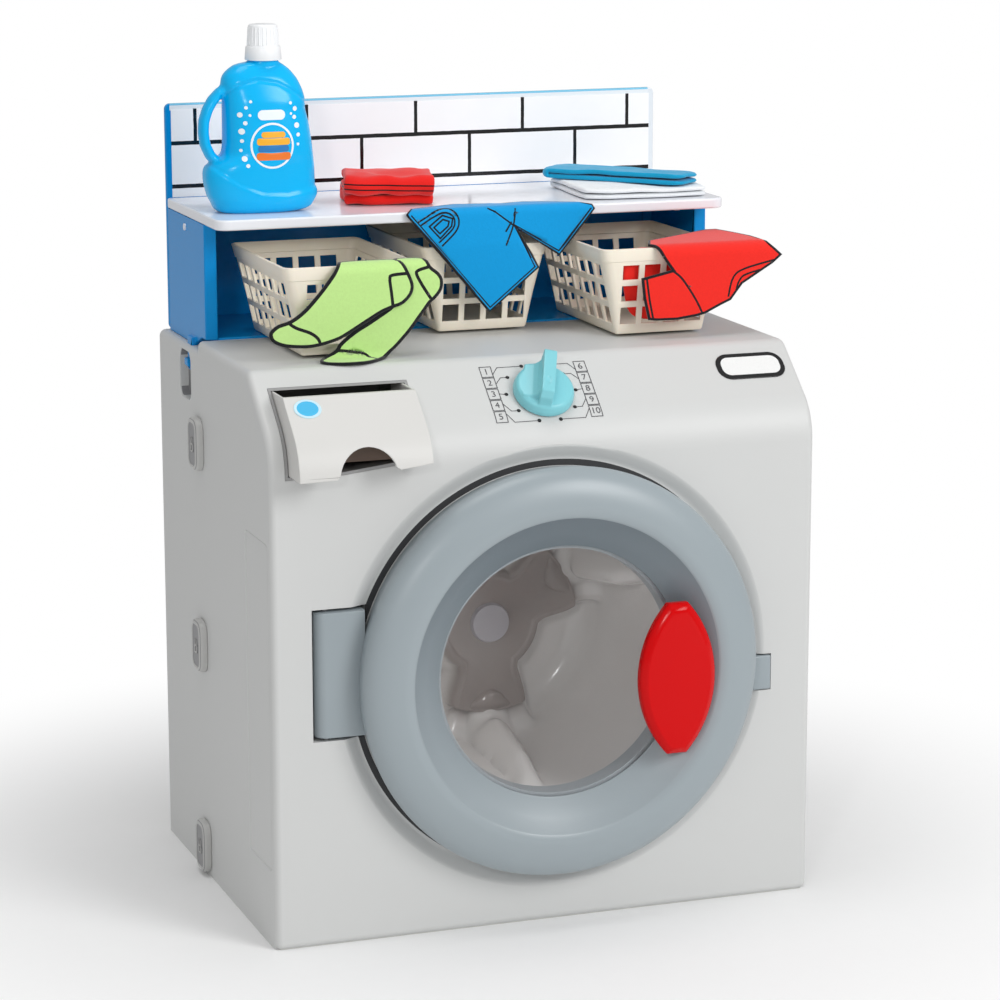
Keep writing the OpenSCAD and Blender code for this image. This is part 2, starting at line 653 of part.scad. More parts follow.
// Side view of the bottle as (y, z), inset by t.
function bottle_side(t) = let (h = bottle_t / 2)
    [[-h + 4 + t, t], [h - 4 - t, t], [h - t, 8], [h - t, 62], [h - 3 - t, 95], [h - 9 - t, 115], [10 - t / 2, neck_z],
     [-10 + t / 2, neck_z], [9 + t - h, 115], [3 + t - h, 95], [t - h, 62], [t - h, 8]];

module bottle_body(t) intersection() {
    translate([0, bottle_t / 2 - t, 0]) rotate([90, 0, 0]) linear_extrude(bottle_t - 2 * t) polygon(BODY);
    along_x(120) polygon(bottle_side(t));
    linear_extrude(neck_z) rounded(99 - 2 * t, bottle_t - 2 * t, 22 - t);
}

module bottle() color([0.0, 0.62, 0.92]) translate([bottle_at[0], bottle_at[1], bottle_z]) difference() {
    union() {
        bottle_body(0);
        translate([0, 8, 0]) rotate([90, 0, 0]) linear_extrude(16) difference() {
            polygon(GRIP);
            polygon(GRIP_HOLE);
        }
        translate([4.5, 0, neck_z - 10]) cylinder(r = 12.5, h = 26);
    }
    intersection() {
        bottle_body(3);
        translate([10, 0, 3]) linear_extrude(neck_z - 16) rounded(66, bottle_t - 6, 16);
    }
    translate([4.5, 0, 80]) cylinder(r = 9.5, h = 80);
}

module bottle_cap() color([0.96, 0.97, 0.98]) translate([bottle_at[0] + 4.5, bottle_at[1], bottle_z + cap_base])
    difference() {
        union() {
            cylinder(r1 = 15.8, r2 = 14.9, h = 11.5);
            translate([0, 0, 11.5]) cylinder(r1 = 14.2, r2 = 12.8, h = 18.5);
        }
        translate([0, 0, -1]) cylinder(r = 12.6, h = 16);
        for (k = [0:19]) rotate(18 * k) translate([14.6, 0, 12]) cylinder(r = 0.9, h = 20, $fn = 16);
    }

module bottle_label() color([0.92, 0.95, 0.98]) translate([bottle_at[0] + 2, bottle_at[1] - bottle_t / 2, bottle_z + 36])
    rotate([90, 0, 0]) linear_extrude(0.4) rounded(44, 48, 16);

// Laundry

// A cloth folded over itself: n layers of thickness t with round folds, along X.
module folded(w, d, n, t, gap) for (i = [0:n - 1]) {
    translate([0, 0, (t + gap) * i + t / 2]) along_x(w) {
        square([d - t, t], center = true);
        for (s = [-1, 1]) translate([s * (d - t) / 2, 0]) circle(t / 2, $fn = 24);
    }
    if (i < n - 1) translate([0, (i % 2 == 0 ? -1 : 1) * (d - t) / 2, (t + gap) * (i + 0.5) + t / 2])
        along_x(w) square([t * 0.8, t + gap], center = true);
}

module folded_red() color(RED) translate([-58.5, 76, bottle_z]) rotate(-20) folded(69, 60, 2, 11, 0.6);

white_h = 9.6;
module folded_white() color([0.93, 0.94, 0.96]) translate([170, 72, bottle_z]) rotate(-4.5)
    folded(97, 118, 2, 4.5, 0.6);

// A strip that lies slantwise on the white cloth, its wide end at the back.
module folded_turquoise() color([0.05, 0.62, 0.80]) translate([0, 0, bottle_z + white_h + clear]) {
    linear_extrude(3.4) polygon([[112, 104], [119, 141], [138, 134], [176, 86], [222, 26], [206, 15], [190, 17], [150, 66]]);
    linear_extrude(7) polygon([[113, 108], [119, 139], [134, 132], [168, 92], [200, 44], [193, 34], [152, 74]]);
}

// The points of a path moved sideways by d.
function beside(P, d) = [for (i = [0:len(P) - 1])
    let (v = P[min(i + 1, len(P) - 1)] - P[max(i - 1, 0)]) P[i] + d * [-v[1], v[0]] / norm(v)];
module ribbon(P) polygon(concat(beside(P, felt_t / 2), backwards(beside(P, -felt_t / 2))));

// Felt laid along a (y, z) path: flat down to z, cut there to its plan, and below to its front view.
module felt(path, z, flat, hanging) {
    intersection() {
        along_x(2 * cab_w) ribbon(path);
        translate([0, 0, z]) linear_extrude(40) polygon(flat);
    }
    intersection() {
        along_x(2 * cab_w) ribbon(path);
        translate([0, 0, 0]) rotate([90, 0, 0]) linear_extrude(300, center = true) intersection() {
            polygon(hanging);
            translate([-300, 0]) square([600, z + 0.01]);
        }
    }
}

// Trousers laid over the front edge of the shelf, both legs hanging down.
lay_z = shelf_z + clear + felt_t / 2;
edge_y = panel_y - 0.4 - shelf_d;
module trousers() color([0.10, 0.55, 0.82]) felt(
    concat([[edge_y + 26, lay_z]], arc([edge_y + 0.8, lay_z - 5.2], 5.2, 90, 184, 6), [[-8.5, 554], [-10.5, 480]]),
    lay_z - 4,
    [[-68, -20], [-68, 3], [-22, 25], [55, 25], [106, 3], [106, -20]],
    [[-68, 589], [9, 497], [52, 533], [30, 572], [72, 545], [106, 589]]);

// T-shirt laid over the right basket's rim. It hangs down in front of the basket and also inside it.
rim_front = basket_y[2] - rim_l / 2;
rest_z = basket_z + basket_h + clear + felt_t / 2;
module tshirt() color([0.90, 0.2, 0.16]) {
    felt(concat([[14, rest_z]], arc([rim_front + 1.2, rest_z - 9], 9, 90, 178, 6),
                [[rim_front - 9, 520], [rim_front - 12, 480]]),
        rest_z - 4,
        [[129, -95], [129, -70], [138, -46], [232, 13], [242, 13], [251, -40], [251, -95]],
        [[129, 575], [130, 556], [149, 535], [119, 529], [133, 493], [177, 495.5], [203, 507], [216, 519], [251, 544],
         [251, 575]]);
    intersection() {
        along_x(2 * cab_w) ribbon([[rim_front + 6, rest_z], [rim_front + 7.5, 545], [rim_front + 15.2, 484]]);
        rotate([90, 0, 0]) linear_extrude(300, center = true)
            polygon([[114, 556], [111, 540], [113, 508], [124, 491], [150, 488], [170, 489], [175, 500], [183, 556]]);
    }
}

// Socks laid over the left basket's rim, the front one hanging over the other, toes to the left.
module sock(lap, flat, hanging) felt(
    concat([[basket_y[0] - 64, rest_z]], arc([basket_y[0] - rim_l / 2 + 1, rest_z - lap], lap, 90, 176, 6),
           [[basket_y[0] - rim_l / 2 - 2 - lap, 470]]),
    rest_z - 3, flat, hanging);

module sock_front() color([0.74, 0.89, 0.55]) sock(8.2,
    [[-152, -60], [-107, -60], [-105, -100], [-154, -100]],
    [[-153, 560], [-103, 560], [-97, 549], [-89, 532], [-97, 521], [-108, 517.5], [-123, 510.5], [-149, 494.5],
     [-169, 489.5], [-188, 489.5], [-209, 494.5], [-218, 502.5], [-213, 508.5], [-201, 512.5], [-179, 526.5],
     [-162, 547.5]]);
module sock_rear() color([0.74, 0.89, 0.55]) sock(5,
    [[-104, -60], [-83, -60], [-81, -100], [-104, -100]],
    [[-104, 560], [-81, 560], [-78, 553.5], [-67, 541.5], [-67, 529.5], [-75, 518.5], [-90, 498.5], [-107, 483.5],
     [-120, 480.5], [-146, 480.5], [-168, 481.5], [-171, 484.5], [-159, 488.5], [-150, 493.5], [-128, 506.5],
     [-112, 516.5], [-100, 534.5]]);

// Assembly

cabinet_shell();
rear_cover();
base_panel();
side_clips();
drawer_housing();
tub_housing();
tub_screws();
drum();
drum_hub_cap();
drum_axle();
axle_retainer();
door_ring();
door_back_ring();
door_window();
door_handle();
door_screws();
hinge_pins();
latch_catch();
dial_knob();
dial_shaft();
dial_marks();
rotary_switch();
sound_box();
circuit_board();
speaker();
front_badge();
drawer_front();
drawer_tray();
drawer_badge();
battery_box();
battery_cells();
battery_door();
battery_screw();
unit_base();
unit_side_left();
unit_side_right();
back_panel();
tile_panel();
shelf_board();
shelf_rivets();
basket_left();
basket_middle();
basket_right();
bottle();
bottle_cap();
bottle_label();
folded_red();
folded_white();
folded_turquoise();
sock_front();
sock_rear();
trousers();
tshirt();
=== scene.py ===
from math import atan2, cos, degrees, hypot, pi, radians, sin, sqrt, tan

import bmesh
import bpy
import numpy as np
from mathutils import Matrix, Vector, noise
from mathutils.bvhtree import BVHTree
from mathutils.geometry import delaunay_2d_cdt


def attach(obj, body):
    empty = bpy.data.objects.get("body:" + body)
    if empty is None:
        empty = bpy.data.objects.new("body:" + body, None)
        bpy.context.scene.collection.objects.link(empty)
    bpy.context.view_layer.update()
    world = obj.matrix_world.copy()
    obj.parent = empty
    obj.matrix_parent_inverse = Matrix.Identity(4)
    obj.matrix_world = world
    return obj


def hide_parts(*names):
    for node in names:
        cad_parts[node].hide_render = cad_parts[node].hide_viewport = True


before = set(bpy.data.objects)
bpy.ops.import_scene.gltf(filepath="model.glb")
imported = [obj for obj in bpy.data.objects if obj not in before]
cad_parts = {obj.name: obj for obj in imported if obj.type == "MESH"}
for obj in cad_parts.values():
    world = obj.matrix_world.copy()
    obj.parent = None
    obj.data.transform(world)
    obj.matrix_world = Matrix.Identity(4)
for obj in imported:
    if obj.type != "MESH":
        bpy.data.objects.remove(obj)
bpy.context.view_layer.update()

# The room: a plain pale floor under soft studio light, seen from above the toy's left front corner.
# One large soft lamp stands at the front right, so that the front is brighter than the left side.
MM = 0.001
EYE = (-0.9627, -2.7498, 0.9528)
YAW, PITCH, ROLL = 0.3431, 0.211, -0.0014
ahead = Vector((sin(YAW) * cos(PITCH), cos(YAW) * cos(PITCH), -sin(PITCH)))
level = Vector((cos(YAW), -sin(YAW), 0))
upright = level.cross(ahead)
across = cos(ROLL) * level + sin(ROLL) * upright
upward = cos(ROLL) * upright - sin(ROLL) * level
camera = bpy.data.objects.new("camera", bpy.data.cameras.new("camera"))
camera.data.sensor_width = 36
camera.data.lens = 36 * 3.39725
camera.data.clip_end = 50
camera.matrix_world = Matrix((across, upward, -ahead)).transposed().to_4x4()
camera.matrix_world.translation = EYE
bpy.context.scene.collection.objects.link(camera)
bpy.context.scene.camera = camera
bpy.context.scene.view_settings.view_transform = "Standard"


class Term:
    """A number or colour inside a node tree; a sign between two of them adds the node for it."""

    def __init__(self, nodes, socket):
        self.nodes, self.socket = nodes, socket

    def math(self, operation, *terms):
        return self.nodes.node("ShaderNodeMath", {"operation": operation}, *terms)

    def __add__(self, other): return self.math("ADD", self, other)
    def __radd__(self, other): return self.math("ADD", other, self)
    def __sub__(self, other): return self.math("SUBTRACT", self, other)
    def __rsub__(self, other): return self.math("SUBTRACT", other, self)
    def __mul__(self, other): return self.math("MULTIPLY", self, other)
    def __rmul__(self, other): return self.math("MULTIPLY", other, self)
    def __truediv__(self, other): return self.math("DIVIDE", self, other)
    def __rtruediv__(self, other): return self.math("DIVIDE", other, self)
    def __mod__(self, other): return self.math("FLOORED_MODULO", self, other)
    def __lt__(self, other): return self.math("LESS_THAN", self, other)
    def __gt__(self, other): return self.math("GREATER_THAN", self, other)
    def __abs__(self): return self.math("ABSOLUTE", self)


class Nodes:
    """A tree that takes a node's type, its settings and the values or links of its sockets."""

    def __init__(self, tree):
        self.tree = tree

    def feed(self, socket, value):
        if isinstance(value, Term):
            self.tree.links.new(value.socket, socket)
        elif isinstance(value, list):
            for one in value:
                self.tree.links.new(one.socket, socket)
        else:
            socket.default_value = value

    def node(self, kind, settings, *values, out=0, **named):
        made = self.tree.nodes.new(kind)
        for key, value in settings.items():
            if key == "stops":
                for stop, (place, colour) in zip(made.color_ramp.elements, value):
                    stop.position, stop.color = place, colour
            else:
                setattr(made, key, value)
        for place, value in [*enumerate(values), *named.items()]:
            if value is not None:
                self.feed(made.inputs[place], value)
        return Term(self, made.outputs[out] if made.outputs else None)


class Finish(Nodes):
    """A material around one shader, whose constants are set on the shader's own sockets."""

    def __init__(self, name, kind="ShaderNodeBsdfPrincipled", **constants):
        self.made = bpy.data.materials.new(name)
        self.made.use_nodes = True
        super().__init__(self.made.node_tree)
        self.tree.nodes.clear()
        self.shader = self.tree.nodes.new(kind)
        self.ending = self.tree.nodes.new("ShaderNodeOutputMaterial")
        self.tree.links.new(self.shader.outputs[0], self.ending.inputs[0])
        for name, value in constants.items():
            self.shader.inputs[name.replace("_", " ")].default_value = value

    def place(self):
        return self.node("ShaderNodeTexCoord", {}, out="Object")

    def noise(self, scale, detail=2, at=None):
        return self.node("ShaderNodeTexNoise", {}, Vector=at or self.place(), Scale=scale, Detail=detail)

    def mix(self, factor, a, b):
        made = self.tree.nodes.new("ShaderNodeMix")
        made.data_type = "RGBA"
        for place, value in ((0, factor), (6, a), (7, b)):
            self.feed(made.inputs[place], value)
        return Term(self, made.outputs[2])

    def set(self, socket, value):
        self.feed(self.shader.inputs[socket], value)

    def bump(self, height, strength, distance):
        self.set("Normal", self.node("ShaderNodeBump", {}, Height=height, Strength=strength, Distance=distance))


def paint(red, green, blue, share=1.0):
    """A colour on the screen's scale of 0 to 255, as the light that it gives back."""
    light = [c / 255 / 12.92 if c < 10.3 else ((c / 255 + 0.055) / 1.055) ** 2.4 for c in (red, green, blue)]
    return (*[min(1, c * share) for c in light], 1)


floor_finish = Finish("floor", Roughness=0.8)
x, y, z = (floor_finish.node("ShaderNodeSeparateXYZ", {}, floor_finish.place(), out=k) for k in range(3))
far = floor_finish.node("ShaderNodeMapRange", {"interpolation_type": "SMOOTHSTEP"},
                        (x * x + y * y).math("SQRT", x * x + y * y), 0.3, 0.75, 0.0, 1.0)
floor_finish.set("Base Color", floor_finish.mix(floor_finish.noise(60) * 0.5, paint(246, 246, 246), paint(249, 249, 249)))
seen = floor_finish.node("ShaderNodeLightPath", {}, out="Is Camera Ray")
bright = floor_finish.node("ShaderNodeEmission", {}, (1, 1, 1, 1), 1.0)
floor_finish.feed(floor_finish.ending.inputs[0], floor_finish.node(
    "ShaderNodeMixShader", {}, far * seen, Term(floor_finish, floor_finish.shader.outputs[0]), bright))
bm = bmesh.new()
bmesh.ops.create_grid(bm, x_segments=2, y_segments=2, size=12)
floor = bpy.data.objects.new("floor", bpy.data.meshes.new("floor"))
bm.to_mesh(floor.data)
floor.data.materials.append(floor_finish.made)
bpy.context.scene.collection.objects.link(floor)

world = bpy.data.worlds.new("studio")
bpy.context.scene.world = world
world.use_nodes = True
sky = Nodes(world.node_tree)
sky.tree.nodes.clear()
rays = [sky.node("ShaderNodeLightPath", {}, out=name) for name in ("Is Camera Ray", "Is Transmission Ray")]
plain = sky.node("ShaderNodeBackground", {}, (1, 1, 1, 1), 0.47)
white = sky.node("ShaderNodeBackground", {}, (1, 1, 1, 1), 1.0)
sky.node("ShaderNodeOutputWorld", {}, sky.node(
    "ShaderNodeMixShader", {}, rays[0].math("MAXIMUM", *rays), plain, white))


def lamp(name, at, to, size, power):
    made = bpy.data.objects.new(name, bpy.data.lights.new(name, "AREA"))
    made.data.shape, made.data.size, made.data.energy = "DISK", size, power
    made.matrix_world = (Vector(at) - Vector(to)).to_track_quat("Z", "Y").to_matrix().to_4x4()
    made.matrix_world.translation = at
    bpy.context.scene.collection.objects.link(made)


lamp("front_lamp", (1.5, -2.6, 2.0), (0, 0, 0.3), 1.6, 50)
lamp("top_lamp", (-0.3, -0.2, 3.0), (0, 0, 0.4), 1.6, 20)
lamp("spark_lamp", (-1.30, -2.45, 1.32), (0, 0, 0.2), 0.2, 7)

# The cabinet is one blow-moulded box of pale grey plastic with soft edges, a sloped control panel that
# rolls into the front, a shallow dish around the door and pockets in its sides. It is open at the back and
# below, where the rear cover and the base close it.
GREY = (204, 205, 204)


def plastic(name, colour, rough=0.42, grain=1100, depth=0.00006, strength=0.35, cloud=0.02, **constants):
    """Moulded plastic: slow clouds in its colour, and a fine grain that shows in its gloss and surface."""
    made = Finish(name, **constants)
    slow, fine = made.noise(7, 3), made.noise(grain, 2)
    low, high = paint(*colour, 1 - cloud), paint(*colour, 1 + cloud)
    made.set("Base Color", made.mix(slow * 0.7 + fine * 0.3, low, high))
    made.set("Roughness", rough - 0.07 + slow * 0.08 + fine * 0.06)
    made.bump(fine + slow * 0.6, strength, depth)
    return made.made


def dress(finish, *nodes):
    """Gives CAD nodes a finish without touching their meshes."""
    for name in nodes:
        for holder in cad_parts[name].material_slots:
            holder.link = "OBJECT"
            holder.material = finish


def welded(*nodes):
    """A copy of CAD nodes whose triangles are joined into faces."""
    bm = bmesh.new()
    for name in nodes:
        bm.from_mesh(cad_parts[name].data)
    bmesh.ops.remove_doubles(bm, verts=bm.verts, dist=0.00001)
    bmesh.ops.dissolve_limit(bm, angle_limit=radians(0.3), verts=bm.verts, edges=bm.edges)
    return bm


def ease(bm, width, pick=lambda a, b: True, steps=2, corner=28):
    """Rounds the sharp edges whose two ends pass the test."""
    chosen = [e for e in bm.edges if len(e.link_faces) == 2 and e.calc_face_angle(0) > radians(corner)
              and e.calc_length() > 0.0006 and pick(*(v.co for v in e.verts))]
    bmesh.ops.bevel(bm, geom=chosen, offset=width, segments=steps, profile=0.5, affect="EDGES",
                    clamp_overlap=False, loop_slide=True)


def weighed(made):
    """Turns the normals of small faces to those of the large ones beside them."""
    modifier = made.modifiers.new("weigh", "WEIGHTED_NORMAL")
    modifier.keep_sharp, modifier.weight = True, 90
    mesh = bpy.data.meshes.new_from_object(made.evaluated_get(bpy.context.evaluated_depsgraph_get()))
    made.modifiers.remove(modifier)
    made.data = mesh


def piece(name, bm, body, slot, finishes, *nodes, crisp=35, weigh=False):
    """Makes the finished mesh an object that rides on a body and stands for CAD nodes."""
    made = bpy.data.objects.new(name, bpy.data.meshes.new(name))
    if isinstance(bm, bpy.types.Mesh):
        made.data = bm
    else:
        bm.to_mesh(made.data)
        bm.free()
    for finish in [finishes] if isinstance(finishes, bpy.types.Material) else finishes:
        made.data.materials.append(finish)
    made.data.polygons.foreach_set("use_smooth", [True] * len(made.data.polygons))
    made.data.set_sharp_from_angle(angle=radians(crisp))
    bpy.context.scene.collection.objects.link(made)
    if weigh:
        weighed(made)
    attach(made, body)
    if nodes:
        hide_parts(*nodes)
    return made


side_x, front_y, back_y, top_z = 0.240, -0.1765, 0.1765, 0.476
panel_a, crease_y, roll_r, soft_r = radians(40), -0.112, 0.050, 0.006
corner_z = top_z - (crease_y - front_y) * tan(panel_a)
roll_y, roll_z = front_y + roll_r, corner_z - roll_r * tan((pi / 2 - panel_a) / 2)
dish_r, dish_d, tub_r, liner_y = 0.187, 0.006, 0.135, front_y + 0.009
door_x, door_z = 0.0055, 0.2205


def turn_about(cy, cz, r, a0, a1, steps):
    return [(cy + r * cos(radians(a0 + (a1 - a0) * k / steps)), cz + r * sin(radians(a0 + (a1 - a0) * k / steps)))
            for k in range(steps + 1)]


def side_view(t, floor_z=0.0, behind=0.0):
    """The cabinet from its side as (y, z), with its front and top moved in by t."""
    crease = (crease_y + 0.014 * tan(panel_a / 2), top_z - 0.014)
    return [(back_y + behind, floor_z), (front_y + max(t, 0.006), floor_z),
            *turn_about(front_y + 0.006, 0.006, max(0.0001, 0.006 - t), 268, 180, 4),
            *turn_about(roll_y, roll_z, roll_r - t, 180, 130, 14), *turn_about(*crease, 0.014 - t, 130, 90, 7),
            (0.046 - t, top_z - t), (0.046 - t, 0.467 - t), (back_y + behind, 0.467 - t)]


def outline(width, height, radius, steps=8):
    """A rounded rectangle about the origin, anticlockwise."""
    return [(sx * (width / 2 - radius) + radius * cos(a), sy * (height / 2 - radius) + radius * sin(a))
            for sx, sy, turn in ((1, 1, 0), (-1, 1, 90), (-1, -1, 180), (1, -1, 270))
            for a in (radians(turn + 90 * k / steps) for k in range(steps + 1))]


def stacked(rings, bm=None, closed=True):
    """Joins rings of equal count by faces, and closes the first and the last."""
    bm = bm or bmesh.new()
    rows = [[bm.verts.new(p) for p in ring] for ring in rings]
    count = len(rows[0])
    for low, high in zip(rows, rows[1:]):
        for k in range(count):
            bm.faces.new((low[k], low[(k + 1) % count], high[(k + 1) % count], high[k]))
    if closed:
        bm.faces.new(rows[0][::-1])
        bm.faces.new(rows[-1])
    return bm


def box(low, high):
    return stacked([[(low[0], low[1], z), (high[0], low[1], z), (high[0], high[1], z), (low[0], high[1], z)]
                    for z in (low[2], high[2])])


def lathed(profile, steps=128):
    """A solid turned about the door's axis from (radius, proud distance), from its back to its front."""
    return stacked([[(door_x + r * cos(2 * pi * k / steps), front_y - proud, door_z + r * sin(2 * pi * k / steps))
                     for k in range(steps)] for r, proud in profile])


def hollow(width, height, corner, flare, depth, at, u, w):
    """A cutter for a recess whose mouth flares out to the surface. It lies at a point, with w outwards."""
    levels = [(flare + 0.0004, 0.002), (flare + 0.0004, 0.0001)]
    levels += [(flare * (1 - sin(radians(a))), -flare * (1 - cos(radians(a)))) for a in range(15, 91, 15)]
    levels += [(0, -depth + 0.0008), (-0.0008, -depth)]
    u, w = Vector(u), Vector(w)
    v = w.cross(u)
    return stacked([[tuple(Vector(at) + u * px + v * py + w * up)
                     for px, py in outline(width + 2 * out, height + 2 * out, corner + out)] for out, up in levels])


def placed(bm):
    """The mesh as an object to work on."""
    bmesh.ops.remove_doubles(bm, verts=bm.verts, dist=0.000001)
    bmesh.ops.recalc_face_normals(bm, faces=bm.faces)
    made = bpy.data.objects.new("work", bpy.data.meshes.new("work"))
    bm.to_mesh(made.data)
    bm.free()
    bpy.context.scene.collection.objects.link(made)
    return made


def carved(bm, *steps):
    """Joins solids to a mesh or cuts them out of it, one after the other."""
    work = placed(bm)
    for operation, solid in steps:
        tool = placed(solid)
        modifier = work.modifiers.new("carve", "BOOLEAN")
        modifier.operation, modifier.object, modifier.solver = operation, tool, "EXACT"
        mesh = bpy.data.meshes.new_from_object(work.evaluated_get(bpy.context.evaluated_depsgraph_get()))
        work.modifiers.remove(modifier)
        work.data = mesh
        bpy.data.objects.remove(tool)
    bm = bmesh.new()
    bm.from_mesh(work.data)
    bpy.data.objects.remove(work)
    return bm


def masked(made, other, mask):
    """Gives a material a second colour where a mask of the place (x, y, z) is one."""
    work = Nodes(made.node_tree)
    place = work.node("ShaderNodeTexCoord", {}, out="Object")
    share = mask(*(work.node("ShaderNodeSeparateXYZ", {}, place, out=k) for k in range(3)))
    shader = next(n for n in made.node_tree.nodes if n.bl_idname == "ShaderNodeBsdfPrincipled")
    mixer = made.node_tree.nodes.new("ShaderNodeMix")
    mixer.data_type = "RGBA"
    mixer.inputs[7].default_value = paint(*other)
    made.node_tree.links.new(share.socket, mixer.inputs[0])
    made.node_tree.links.new(shader.inputs["Base Color"].links[0].from_socket, mixer.inputs[6])
    made.node_tree.links.new(mixer.outputs[2], shader.inputs["Base Color"])
    return made


def from_door(x, z):
    """The square of the distance from the door's axis."""
    return (x - door_x) * (x - door_x) + (z - door_z) * (z - door_z)


# The insides of the side pockets are painted a darker grey: painted shade in the recesses.
cabinet_finish = masked(plastic("cabinet_plastic", GREY, rough=0.46, cloud=0.02), (132, 132, 134), lambda x, y, z: (
    (abs(x) < 0.2385) * (abs(x) > 0.2290) * (abs(y - 0.088) < 0.0188) * (abs(z - 0.441) < 0.0208)))
# A thin near-black ring in the dish, just outside the door's rim, is a painted shadow of the gap behind the door.
cabinet_finish = masked(cabinet_finish, (52, 52, 54), lambda x, y, z: (
    (from_door(x, z) < 0.1768 ** 2) * (from_door(x, z) > 0.1715 ** 2) * (y > front_y + 0.003) * (y < front_y + 0.008)))
inside_finish = plastic("inner_plastic", (150, 150, 150), rough=0.5)
steps = [(side_x - soft_r * (1 - cos(radians(a))), soft_r * (1 - sin(radians(a)))) for a in range(0, 91, 15)]
skin = stacked([[(-px, py, pz) for py, pz in side_view(t)] for px, t in steps] +
               [[(px, py, pz) for py, pz in side_view(t)] for px, t in steps[::-1]])
inner = stacked([[(px, py, pz) for py, pz in side_view(0.003, -0.002, 0.002)] for px in (-0.237, 0.237)])
drawer_x, drawer_z0, drawer_z1, drawer_half = -0.167, 0.3965, 0.4634, 0.0595
drawer_view = [(-drawer_half, drawer_z0), (-0.014, drawer_z0 + 0.001), (drawer_half, drawer_z0 + 0.009),
               (drawer_half, drawer_z1), (-drawer_half, drawer_z1)]
drawer_hole = stacked([[(drawer_x + px, py, pz) for px, pz in drawer_view] for py in (front_y - 0.01, -0.104)])
dial_x, dial_s = 0.0055, 0.0435
dial_at = Vector((dial_x, crease_y - dial_s * cos(panel_a), top_z - dial_s * sin(panel_a)))
dial_up = Vector((0, -sin(panel_a), cos(panel_a)))
dial_hole = stacked([[tuple(dial_at + Vector((0.0046 * cos(t), 0.0046 * sin(t) * cos(panel_a), 0.0046 * sin(t) * sin(panel_a)))
                      + dial_up * up) for t in np.linspace(0, 2 * pi, 24, False)] for up in (-0.01, 0.01)])
dish = [(dish_r - 0.0095, -dish_d), (dish_r - 0.0075, -dish_d + 0.0004), (dish_r - 0.0055, -dish_d + 0.0015),
        (dish_r - 0.0012, -0.0022), (dish_r + 0.0008, -0.0009), (dish_r + 0.0028, -0.0002), (dish_r + 0.0045, 0.0001),
        (dish_r + 0.0045, 0.004)]
hinge_x, hinge_y, arm_z = 0.193, front_y + 0.0075, (0.1785, 0.285)
latch_x, latch_z = door_x + 0.190, 0.1995
hinge_mid = (arm_z[0] + arm_z[1]) / 2
bm = carved(
    skin, ("DIFFERENCE", inner),
    ("UNION", lathed([(dish_r + 0.003, -0.009), (dish_r + 0.003, -0.0005)])),
    ("UNION", box((-hinge_x - 0.016, front_y + 0.0005, arm_z[0] - 0.0055), (-0.155, -0.149, arm_z[1] + 0.0055))),
    ("UNION", box((latch_x - 0.013, front_y + 0.0005, latch_z - 0.022), (latch_x + 0.013, liner_y, latch_z + 0.022))),
    ("UNION", box((0.2295, 0.065, 0.417), (0.2375, 0.111, 0.4645))),
    ("UNION", box((-0.2375, 0.065, 0.417), (-0.2295, 0.111, 0.4645))),
    ("DIFFERENCE", lathed(dish)),
    ("DIFFERENCE", lathed([(tub_r - 0.005, -0.030), (tub_r - 0.005, 0.001)])),
    ("DIFFERENCE", box((-hinge_x - 0.013, front_y - 0.001, arm_z[0] - 0.0025), (-0.158, -0.152, arm_z[1] + 0.0025))),
    ("DIFFERENCE", box((latch_x - 0.020, front_y - 0.001, latch_z - 0.0159), (latch_x + 0.0072, front_y + dish_d,
                                                                              latch_z + 0.0159))),
    ("DIFFERENCE", box((latch_x - 0.0042, front_y, latch_z - 0.0042), (latch_x + 0.0042, front_y + 0.02, latch_z + 0.0042))),
    ("DIFFERENCE", drawer_hole), ("DIFFERENCE", dial_hole),
    ("DIFFERENCE", hollow(0.068, 0.276, 0.005, 0.0005, 0.0008, (-side_x, -0.133, 0.204), (0, -1, 0), (-1, 0, 0))),
    ("DIFFERENCE", hollow(0.038, 0.042, 0.009, 0.0012, 0.0085, (-side_x, 0.088, 0.441), (0, -1, 0), (-1, 0, 0))),
    ("DIFFERENCE", hollow(0.038, 0.042, 0.009, 0.0012, 0.0085, (side_x, 0.088, 0.441), (0, 1, 0), (1, 0, 0))))


def drawer_mouth(a, b):
    return all(abs(v.x - drawer_x) < drawer_half + 0.0002 and drawer_z0 - 0.0002 < v.z < drawer_z1 + 0.0002
               and (hypot(v.y - roll_y, v.z - roll_z) > roll_r - 0.0005 or v.z > 0.437 or v.z < roll_z)
               and (v.y < front_y + 0.0004 or v.z > roll_z - 0.001) for v in (a, b))


bmesh.ops.remove_doubles(bm, verts=bm.verts, dist=0.00001)
ease(bm, 0.0009, drawer_mouth, 2, 40)
piece("cabinet_moulding", bm, "cabinet", "body", cabinet_finish, "cabinet_shell", crisp=40, weigh=True)

dress(plastic("rear_plastic", (196, 196, 192), rough=0.5), "rear_cover", "base_panel")
dress(inside_finish, "drawer_housing", "tub_housing", "sound_box", "battery_box", "battery_door", "latch_catch")
metal = Finish("screw_steel", Metallic=1.0)
streak = metal.noise(400, 3)
metal.set("Base Color", metal.mix(streak, paint(120, 120, 122), paint(165, 165, 168)))
metal.set("Roughness", 0.28 + streak * 0.2)
metal.bump(streak, 0.2, 0.00005)
dress(metal.made, "tub_screws", "drum_axle", "axle_retainer", "door_screws", "hinge_pins", "battery_screw",
      "dial_shaft")
dress(plastic("black_plastic", (40, 40, 43), rough=0.4), "rotary_switch", "speaker")

# Six flat clips snap the cabinet's sides to the rear cover. Each is a moulded cushion shape with a small
# raised padlock mark, pressed into its hole; Geometry Nodes set the six copies.
clip_y, clip_z = 0.044, (0.026, 0.2085, 0.3875)
clip_w, clip_h, clip_t = 0.031, 0.046, 0.008


def cushion(width, height, levels):
    """Rounded rectangles of (inset, level), one above the other."""
    return [[(px, py, up) for px, py in outline(width - 2 * inset, height - 2 * inset, max(0.001, 0.011 - inset))]
            for inset, up in levels]


